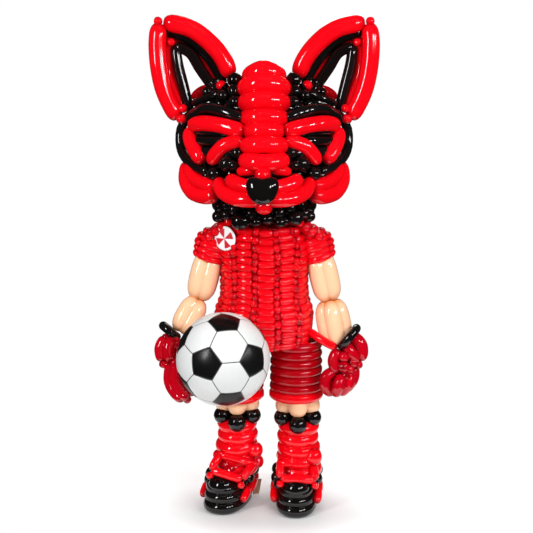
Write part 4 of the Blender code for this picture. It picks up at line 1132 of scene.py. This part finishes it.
def shortsRings(side):
    low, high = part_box(f"shorts_{side}")
    pitch = (high.z - low.z) / shorts["rings"]
    made = []
    for row in range(1, shorts["rings"]):
        height = low.z + pitch * (row + 0.5)
        thick = pitch * 1.14
        wide = shorts["reach"] * (1 - 0.04 * row / shorts["rings"]) - thick / 2
        centre = fromAxis((legX[side], 0, 0)) + (0, 0, height)
        start = math.pi + sides[side] * 0.6 + draw.uniform(-0.15, 0.15)
        made += ringOf(centre, (0, 0, 1), wide, thick, 1, start, 0.02, around=12, flute=0.06)
    # a liner inside the rings in the thick, darker colour: a dark sheet as painted shade behind the gaps
    # between the rings
    turn = np.linspace(0, 2 * math.pi, 25)[:-1]
    heights = np.array([low.z + 0.045, high.z + 0.01])[:, None] + 0 * turn
    inside = shorts["inside"]
    flat = 0 * heights
    lining = np.stack([inside * np.cos(turn) + flat, inside * np.sin(turn) + flat, heights], axis=-1)
    made.append(grid(fromAxis((legX[side], 0, 0)) + lining, swell=0))
    return made


def shortsHem(side):
    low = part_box(f"shorts_{side}")[0]
    thick = shorts["hemThick"]
    centre = fromAxis((legX[side], 0, 0)) + (0, 0, low.z + 0.4 * thick)
    wide = shorts["hemReach"] - thick / 2
    return ringOf(centre, (0, 0, 1), wide, thick, 1, math.pi + 0.4 * sides[side], 0.02, around=16)


for side in sides:
    latexPiece(f"shortsRings_{side}", shortsRings(side), "shortsLatex", [f"shorts_{side}"])
    hem = latexPiece(f"shortsHem_{side}", shortsHem(side), "redLatex", [f"shorts_{side}"])

kneeX = {"left": 0.141, "right": -0.115}  # middle of each knee
knees = {"top": 0.52, "bottom": 0.403, "each": 0.086, "count": 5, "topReach": 0.03, "reach": 0.056}
kneeBalls = (  # turn round the leg from the front in degrees, and width, height and reach of each ball
    (0, 0.078, 0.371, 0.068),
    (66, 0.073, 0.392, 0.07),
    (-66, 0.073, 0.392, 0.07),
    (125, 0.066, 0.385, 0.06),
    (-125, 0.066, 0.385, 0.06),
    (180, 0.07, 0.385, 0.062),
)
kneeCore = 0.09  # a black bubble inside the ring of balls


def kneeBubbles(side):
    # balloons round the knee, drawn together under the shorts; toward the middle their colour fades into the
    # thick, darker tone as painted shade
    middle = fromAxis((kneeX[side], ankles[side][1], 0))
    made = []
    for k in range(knees["count"]):
        turn = 2 * math.pi * k / knees["count"]
        out = np.array([math.sin(turn), -math.cos(turn), 0])
        top = middle + out * knees["topReach"] + (0, 0, knees["top"])
        bend = middle + out * knees["reach"] + (0, 0, (knees["top"] + knees["bottom"]) / 2 - 0.01)
        bottom = middle + out * (knees["reach"] + 0.002) + (0, 0, knees["bottom"])
        width = knees["each"] * (1.0 if k == 0 else draw.uniform(0.88, 0.93))
        shape = balloon([top, bend, bottom], width, 20, 4, 8, pinch=0.12, taper=0.55, belly=0.0, flute=0.03)
        # painted shade: toward the leg's middle the colour goes to the thick, darker tone
        away = shape["verts"] - middle
        shape["swell"] = shape["swell"] * np.clip((np.hypot(away[:, 0], away[:, 1]) - 0.04) / 0.03, 0, 1)
        made.append(shape)
    return made


def kneeBallRing(side):
    made = []
    for degrees, width, height, reach in kneeBalls:
        turn = math.radians(degrees)
        x, y = kneeX[side] + reach * math.sin(turn), ankles[side][1] - reach * math.cos(turn)
        made.append(bubble(fromAxis((x, y, height)), width, (0, 0, 1), None, 20, 9, 0.05))
    made.append(bubble(fromAxis((kneeX[side], ankles[side][1], kneeBalls[1][2])), kneeCore))
    return made


for side in sides:
    latexPiece(f"kneeBubbles_{side}", kneeBubbles(side), "skinLatex", [f"knee_{side}"])
    latexPiece(f"kneeBalls_{side}", kneeBallRing(side), "blackLatex", [f"knee_balls_{side}"])

socks = {
    "rings": 5,
    "topWidth": {"left": 0.164, "right": 0.158},
    "bottomWidth": {"left": 0.19, "right": 0.186},
    "aside": {"left": 0.009, "right": 0.0},  # how far the rings stand off the frame's sock to the fox's left
}
sockBubbles = {  # round bubbles low on the outer and inner sides of the socks
    "right": (((-0.038, -0.03, 0.244), 0.066), ((-0.03, 0.005, 0.18), 0.056), ((-0.2, 0.03, 0.2), 0.046)),
    "left": (((0.207, -0.078, 0.232), 0.074), ((0.2, 0.04, 0.17), 0.05), ((0.074, 0.03, 0.2), 0.046)),
}


def sockRings(side):
    # fat rings that sit into one another, each twisted shut behind
    low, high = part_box(f"sock_{side}")
    pitch = (high.z - low.z) / socks["rings"]
    top, bottom = fromAxis((legX[side], ankles[side][1], 0)), fromAxis((*ankles[side], 0))
    made = []
    for row in range(socks["rings"]):
        share = (row + 0.5) / socks["rings"]
        centre = bottom + (top - bottom) * share
        centre = centre + (socks["aside"][side] + draw.uniform(-0.003, 0.003), 0, low.z + pitch * (row + 0.5))
        thick = pitch * 1.3
        width = socks["bottomWidth"][side] + (socks["topWidth"][side] - socks["bottomWidth"][side]) * share
        wide = width / 2 - thick / 2 + draw.uniform(0.001, 0.005)
        tilt = (0.05 * draw.uniform(-1, 1), -0.08, 1)
        start = math.pi + draw.uniform(-0.5, 0.5)
        made += ringOf(centre, tilt, wide, thick, 1, start, 0.02, around=20, belly=0.03, flute=0.03)
    middle = (bottom + top) / 2 + (0, 0, (low.z + high.z) / 2)
    made.append(bubble(middle, 0.1, (0, 0, 1), high.z - low.z - 0.02, 14, 5))
    made += [bubble(fromAxis(p), w, (0, 0.3, 1), None, 18, 8) for p, w in sockBubbles[side]]
    return made


for side in sides:
    latexPiece(f"sockRings_{side}", sockRings(side), "redLatex", [f"sock_{side}"])
print("the legs stand")


# Shoes

feet = {
    "pivot": {"left": (0.14, -0.01), "right": (-0.143, 0.02)},
    "turn": {"left": math.radians(-4), "right": math.radians(-18)},
    "length": 0.3,
    "heelBehind": 0.115,
}
soleRings = {  # height of the middle, width, length, thickness, and how far forward its middle is
    "left": (
        (0.026, 0.176, 0.304, 0.052, 0.0),
        (0.064, 0.17, 0.294, 0.05, -0.002),
        (0.098, 0.15, 0.22, 0.046, 0.028),
    ),
    "right": (
        (0.026, 0.186, 0.306, 0.053, 0.0),
        (0.066, 0.18, 0.296, 0.052, -0.002),
        (0.102, 0.156, 0.22, 0.047, 0.028),
    ),
}
ringBalloons = ((-115, 230, 17), (120, 55, 7), (185, 55, 7))  # start and sweep in degrees, and points
instep = (  # black bubbles along the upper edge on both sides: place and width
    ((0.07, -0.07, 0.112), 0.052), ((0.084, -0.02, 0.12), 0.052), ((0.084, 0.045, 0.135), 0.054),
)
toeDome = ((0, -0.116, 0.11), 0.118, 0.092)  # place, width and height of the round bubble on the toe
overFloor = 0.0004  # how far the lowest points stand above the floor


def inFoot(points, side):
    # set out with the pivot over the origin and the toe along -Y, then turned and moved to the foot
    points = np.asarray(points, float)
    turn = feet["turn"][side]
    cos, sin = math.cos(turn), math.sin(turn)
    x = points[..., 0] * cos - points[..., 1] * sin + feet["pivot"][side][0]
    y = points[..., 0] * sin + points[..., 1] * cos + feet["pivot"][side][1]
    return fromAxis(np.stack([x, y, points[..., 2]], axis=-1))


def footLoop(height, wide, long, forward, start, sweep, count=13, squareness=0.8):
    # rounded oblong: x = wide/2 · sin v^q, y = -long/2 · cos v^q (signs kept), angle 0 at the toe
    v = start + np.linspace(0, 1, count) * sweep
    x = wide / 2 * np.sign(np.sin(v)) * np.abs(np.sin(v)) ** squareness
    y = -long / 2 * np.sign(np.cos(v)) * np.abs(np.cos(v)) ** squareness
    middle = feet["heelBehind"] - feet["length"] / 2 - forward
    return np.stack([x, y + middle, height + 0 * v], axis=-1)


def shoe(side):
    # three rings of three balloons each, a dome on the toe, bubbles along the sides, and a filled inside
    made = []
    for height, wide, long, thick, forward in soleRings[side]:
        for start, sweep, count in ringBalloons:
            start, sweep = math.radians(start), math.radians(sweep)
            path = footLoop(height, wide - thick, long - thick, forward, start, sweep, count)
            path = inFoot(path, side)
            made.append(balloon(path, thick, 18, count + 4, 6, taper=0.55, belly=0.0, flute=0.04))
    place, wide, tall = toeDome
    made.append(bubble(inFoot(place, side), wide, (0, 0, 1), tall, 22, 9))
    for y, z, wide in ((-0.05, 0.1, 0.115), (0.02, 0.07, 0.12)):
        made.append(bubble(inFoot((0, y, z), side), wide, (0, 0, 1), 0.08, 18, 7))
    for (x, y, z), width in instep:
        for way in (1, -1):
            ends = [(way * x, y - 0.026, z - 0.008), (way * x, y + 0.026, z + 0.008)]
            made.append(balloon(inFoot(ends, side), width, 16, 2, 6, pinch=0.25))
    for x, z in ((-0.04, 0.03), (0.04, 0.03), (0, 0.05)):
        made.append(balloon(inFoot([(x, -0.12, z), (x, 0.0, z), (x, 0.09, z)], side), 0.055, 10, 4, 3))
    for z in (0.05, 0.095):
        made.append(bubble(inFoot((0, 0.09, z), side), 0.07, (1, 0, 0), 0.1, 12, 4))
    for shape in made:
        shape["verts"][:, 2] = np.maximum(shape["verts"][:, 2], overFloor)
    return made


stripePaths = (  # red bubbles along each side of the shoe and round the heel
    (((0.088, -0.115, 0.05), (0.093, -0.08, 0.066), (0.092, -0.045, 0.086)), 0.034),
    (((0.093, -0.05, 0.07), (0.095, 0.0, 0.08), (0.09, 0.048, 0.088)), 0.036),
    (((0.088, 0.056, 0.086), (0.07, 0.1, 0.09), (0.004, 0.125, 0.092)), 0.034),
)
laceCorners = {  # top left, top right, bottom right and bottom left as the photo shows them
    "left": ((-0.067, -0.075, 0.203), (0.073, -0.055, 0.189), (0.082, -0.12, 0.15), (-0.064, -0.13, 0.158)),
    "right": ((-0.018, -0.084, 0.232), (0.114, -0.043, 0.19), (0.093, -0.122, 0.148), (-0.04, -0.136, 0.18)),
}
lace = {
    "thick": 0.034,
    "bow": np.array([0, -0.008, 0.004]),  # how far the middle of each balloon bows out
    "tongue": 0.05,
    "tongueBehind": np.array([0, 0.05, -0.012]),
    "tongueAcross": (-0.62, 0, 0.62),
}


def laceFrame(side):
    # four balloons in a frame, a bubble at each corner, and the red tongue deep behind them
    corners = [np.array(corner) for corner in laceCorners[side]]
    made = []
    for a, b in zip(corners, corners[1:] + corners[:1]):
        path = inFoot(np.array([a, (a + b) / 2 + lace["bow"], b]), side)
        made.append(balloon(path, lace["thick"], 16, 8, 6))
    for corner, down in zip(corners, (0, 0, 1, 1)):
        place = corner + down * np.array([0, -0.016, -0.018])
        made.append(bubble(inFoot(place, side), 0.034 - 0.004 * down, (0, 0.4, 1), None, 14, 6))
    upper, lower = (corners[0] + corners[1]) / 2, (corners[2] + corners[3]) / 2
    behind = lace["tongueBehind"]
    for share in lace["tongueAcross"]:
        across = share * (corners[1] - corners[0]) / 2
        path = [upper + across + behind, (upper + lower) / 2 + across + behind, lower + across + behind]
        tube = balloon(inFoot(np.array(path), side), lace["tongue"], 14, 4, 5)
        # painted shade: the tongue takes mostly the thick, darker colour, for the hollow behind the frame
        tube["swell"] = tube["swell"] * 0.2
        made.append(tube)
    return made


for side in sides:
    latexPiece(f"shoeRings_{side}", shoe(side), "blackLatex", [f"shoe_{side}"])
    stripe = []
    for path, width in stripePaths:
        stripe += [balloon(inFoot(np.array(path) * (way, 1, 1), side), width, 16, 8, 6) for way in (1, -1)]
    latexPiece(f"shoeStripe_{side}", stripe, "redLatex", [f"shoe_stripe_{side}"])
    latexPiece(f"laceFrame_{side}", laceFrame(side), "redLatex", [f"laces_{side}"])
print("the shoes are laced")


# Badge and card

badge = {
    "wedges": 8,
    "line": 0.8,  # share of the radius where the white rim begins
    "bulge": 0.003,
    "thick": 0.003,
    "turn": math.radians(30),
    "aroundPoints": 96,
    "rows": (0.3, 0.99, 1.0, 0.99, 0.845, 0.835, 0.805, 0.795, 0.6, 0.4, 0.2, 0.05),
}


def badgeShape():
    # a round card, its face slightly domed: rows of points from the back's middle over the edge to the front
    low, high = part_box("badge")
    centre = np.array((low + high) / 2)
    wide = (high.z - low.z) / 2
    turn = badge["turn"]
    normal = np.array([-math.sin(turn), -math.cos(turn), 0])
    across = np.array([math.cos(turn), -math.sin(turn), 0])
    shares = np.array(badge["rows"])
    front = np.array([0, 0, 0.5, 1, 1, 1, 1, 1, 1, 1, 1, 1.0])
    v = 2 * math.pi * np.arange(badge["aroundPoints"]) / badge["aroundPoints"]
    x = shares[:, None] * wide * np.cos(v)
    z = shares[:, None] * wide * np.sin(v)
    lift = ((front - 0.5) * badge["thick"] + front * badge["bulge"] * (1 - shares**2))[:, None] + 0 * v
    points = centre + x[..., None] * across + z[..., None] * np.array([0, 0, 1]) + lift[..., None] * normal
    shape = grid(points)
    whole = np.append(np.repeat(shares, len(v)), [0, 0])
    facing = np.append(np.repeat(front, len(v)), [0, 1])
    shape["share"] = np.where(facing > 0.9, whole, 1.0)
    return shape


def badgeMaterial():
    # a white rim, and red and white wedges inside it: the sign of sin(wedges/2 · angle) picks the ink
    material, nodes, links = newMaterial("badgeCard")
    place = nodes.new("ShaderNodeAttribute")
    place.attribute_name = "share"
    low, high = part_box("badge")
    centre = (low + high) / 2
    where = nodes.new("ShaderNodeTexCoord")
    move = nodes.new("ShaderNodeMapping")
    move.vector_type = "TEXTURE"
    move.inputs["Location"].default_value = centre
    move.inputs["Rotation"].default_value = (0, 0, -badge["turn"])
    links.new(where.outputs["Object"], move.inputs["Vector"])
    split = nodes.new("ShaderNodeSeparateXYZ")
    links.new(move.outputs["Vector"], split.inputs["Vector"])
    angle = nodes.new("ShaderNodeMath")
    angle.operation = "ARCTAN2"
    links.new(split.outputs["Z"], angle.inputs[0])
    links.new(split.outputs["X"], angle.inputs[1])
    times = nodes.new("ShaderNodeMath")
    times.operation = "MULTIPLY"
    times.inputs[1].default_value = badge["wedges"] / 2
    links.new(angle.outputs[0], times.inputs[0])
    wave = nodes.new("ShaderNodeMath")
    wave.operation = "SINE"
    links.new(times.outputs[0], wave.inputs[0])
    which = nodes.new("ShaderNodeMath")
    which.operation = "GREATER_THAN"
    which.inputs[1].default_value = 0
    links.new(wave.outputs[0], which.inputs[0])
    inks = nodes.new("ShaderNodeMix")
    inks.data_type = "RGBA"
    inks.inputs["A"].default_value = (0.88, 0.88, 0.88, 1)
    inks.inputs["B"].default_value = (0.62, 0.005, 0.02, 1)
    links.new(which.outputs[0], inks.inputs["Factor"])
    ramp = nodes.new("ShaderNodeValToRGB")
    ramp.color_ramp.interpolation = "CONSTANT"
    ramp.color_ramp.elements[0].position = 0
    ramp.color_ramp.elements[0].color = (1, 1, 1, 1)
    ramp.color_ramp.elements[1].position = badge["line"]
    ramp.color_ramp.elements[1].color = (0, 0, 0, 1)
    links.new(place.outputs["Fac"], ramp.inputs["Fac"])
    field = nodes.new("ShaderNodeMix")
    field.data_type = "RGBA"
    field.inputs["A"].default_value = (0.9, 0.9, 0.9, 1)
    links.new(ramp.outputs["Color"], field.inputs["Factor"])
    links.new(inks.outputs["Result"], field.inputs["B"])
    fibre = nodes.new("ShaderNodeTexNoise")
    fibre.inputs["Scale"].default_value = 300
    links.new(where.outputs["Object"], fibre.inputs["Vector"])
    rough = nodes.new("ShaderNodeMapRange")
    rough.inputs["To Min"].default_value = 0.28
    rough.inputs["To Max"].default_value = 0.45
    links.new(fibre.outputs["Fac"], rough.inputs["Value"])
    shader = nodes["Principled BSDF"]
    links.new(field.outputs["Result"], shader.inputs["Base Color"])
    links.new(rough.outputs["Result"], shader.inputs["Roughness"])
    return material


addPiece("roundBadge", [badgeShape()], badgeMaterial(), ["badge"], ("share",))

card = {"wide": 0.028, "thick": 0.006, "liner": 0.0007, "flutes": 7, "turn": 20, "lean": 0.012}


def cardShape():
    # two flat liners with a waved sheet between them, all standing on the floor
    low, high = (np.array(corner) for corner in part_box("heel_board"))
    turn = math.radians(card["turn"])
    flat = np.array([math.cos(turn), math.sin(turn), 0])
    through = np.array([-math.sin(turn), math.cos(turn), 0])
    centre = (low + high) / 2
    tall = high[2] - low[2]
    u = np.linspace(-0.5, 0.5, 43)
    made = []
    liner = card["liner"]
    for offset, wave, thick in ((0.5, 0, liner), (-0.5, 0, liner), (0, 1, liner * 0.8)):
        waved = wave * 0.4 * card["thick"] * np.sin(2 * math.pi * card["flutes"] * u)
        lift = offset * (card["thick"] - card["liner"]) + waved
        there = np.stack([u, lift - thick / 2], axis=1)
        back = np.stack([u[::-1], (lift + thick / 2)[::-1]], axis=1)
        loop = np.concatenate([there, back])
        rows = []
        for z in np.linspace(0, 1, 9):
            along = loop[:, :1] * card["wide"] + card["lean"] * (z - 0.5)
            row = centre + along * flat + loop[:, 1:] * through
            row[:, 2] = low[2] + overFloor + z * (tall - 0.0006)
            rows.append(row)
        made.append(grid(np.stack(rows)))
    return made


def cardMaterial():
    # brown paper: long vertical fibres in colour and bump
    material, nodes, links = newMaterial("brownCard")
    where = nodes.new("ShaderNodeTexCoord")
    stretch = nodes.new("ShaderNodeMapping")
    stretch.inputs["Scale"].default_value = (260, 260, 50)
    links.new(where.outputs["Object"], stretch.inputs["Vector"])
    fibre = nodes.new("ShaderNodeTexNoise")
    fibre.inputs["Scale"].default_value = 1
    fibre.inputs["Detail"].default_value = 5
    links.new(stretch.outputs["Vector"], fibre.inputs["Vector"])
    colour = nodes.new("ShaderNodeValToRGB")
    colour.color_ramp.elements[0].position = 0.3
    colour.color_ramp.elements[0].color = (0.4, 0.2, 0.1, 1)
    colour.color_ramp.elements[1].position = 0.75
    colour.color_ramp.elements[1].color = (0.66, 0.4, 0.24, 1)
    links.new(fibre.outputs["Fac"], colour.inputs["Fac"])
    bump = nodes.new("ShaderNodeBump")
    bump.inputs["Distance"].default_value = 0.0005
    links.new(fibre.outputs["Fac"], bump.inputs["Height"])
    shader = nodes["Principled BSDF"]
    shader.inputs["Roughness"].default_value = 0.85
    links.new(colour.outputs["Color"], shader.inputs["Base Color"])
    links.new(bump.outputs["Normal"], shader.inputs["Normal"])
    return material


addPiece("heelCard", cardShape(), cardMaterial(), ["heel_board"], ())
print("the badge and the card are placed")
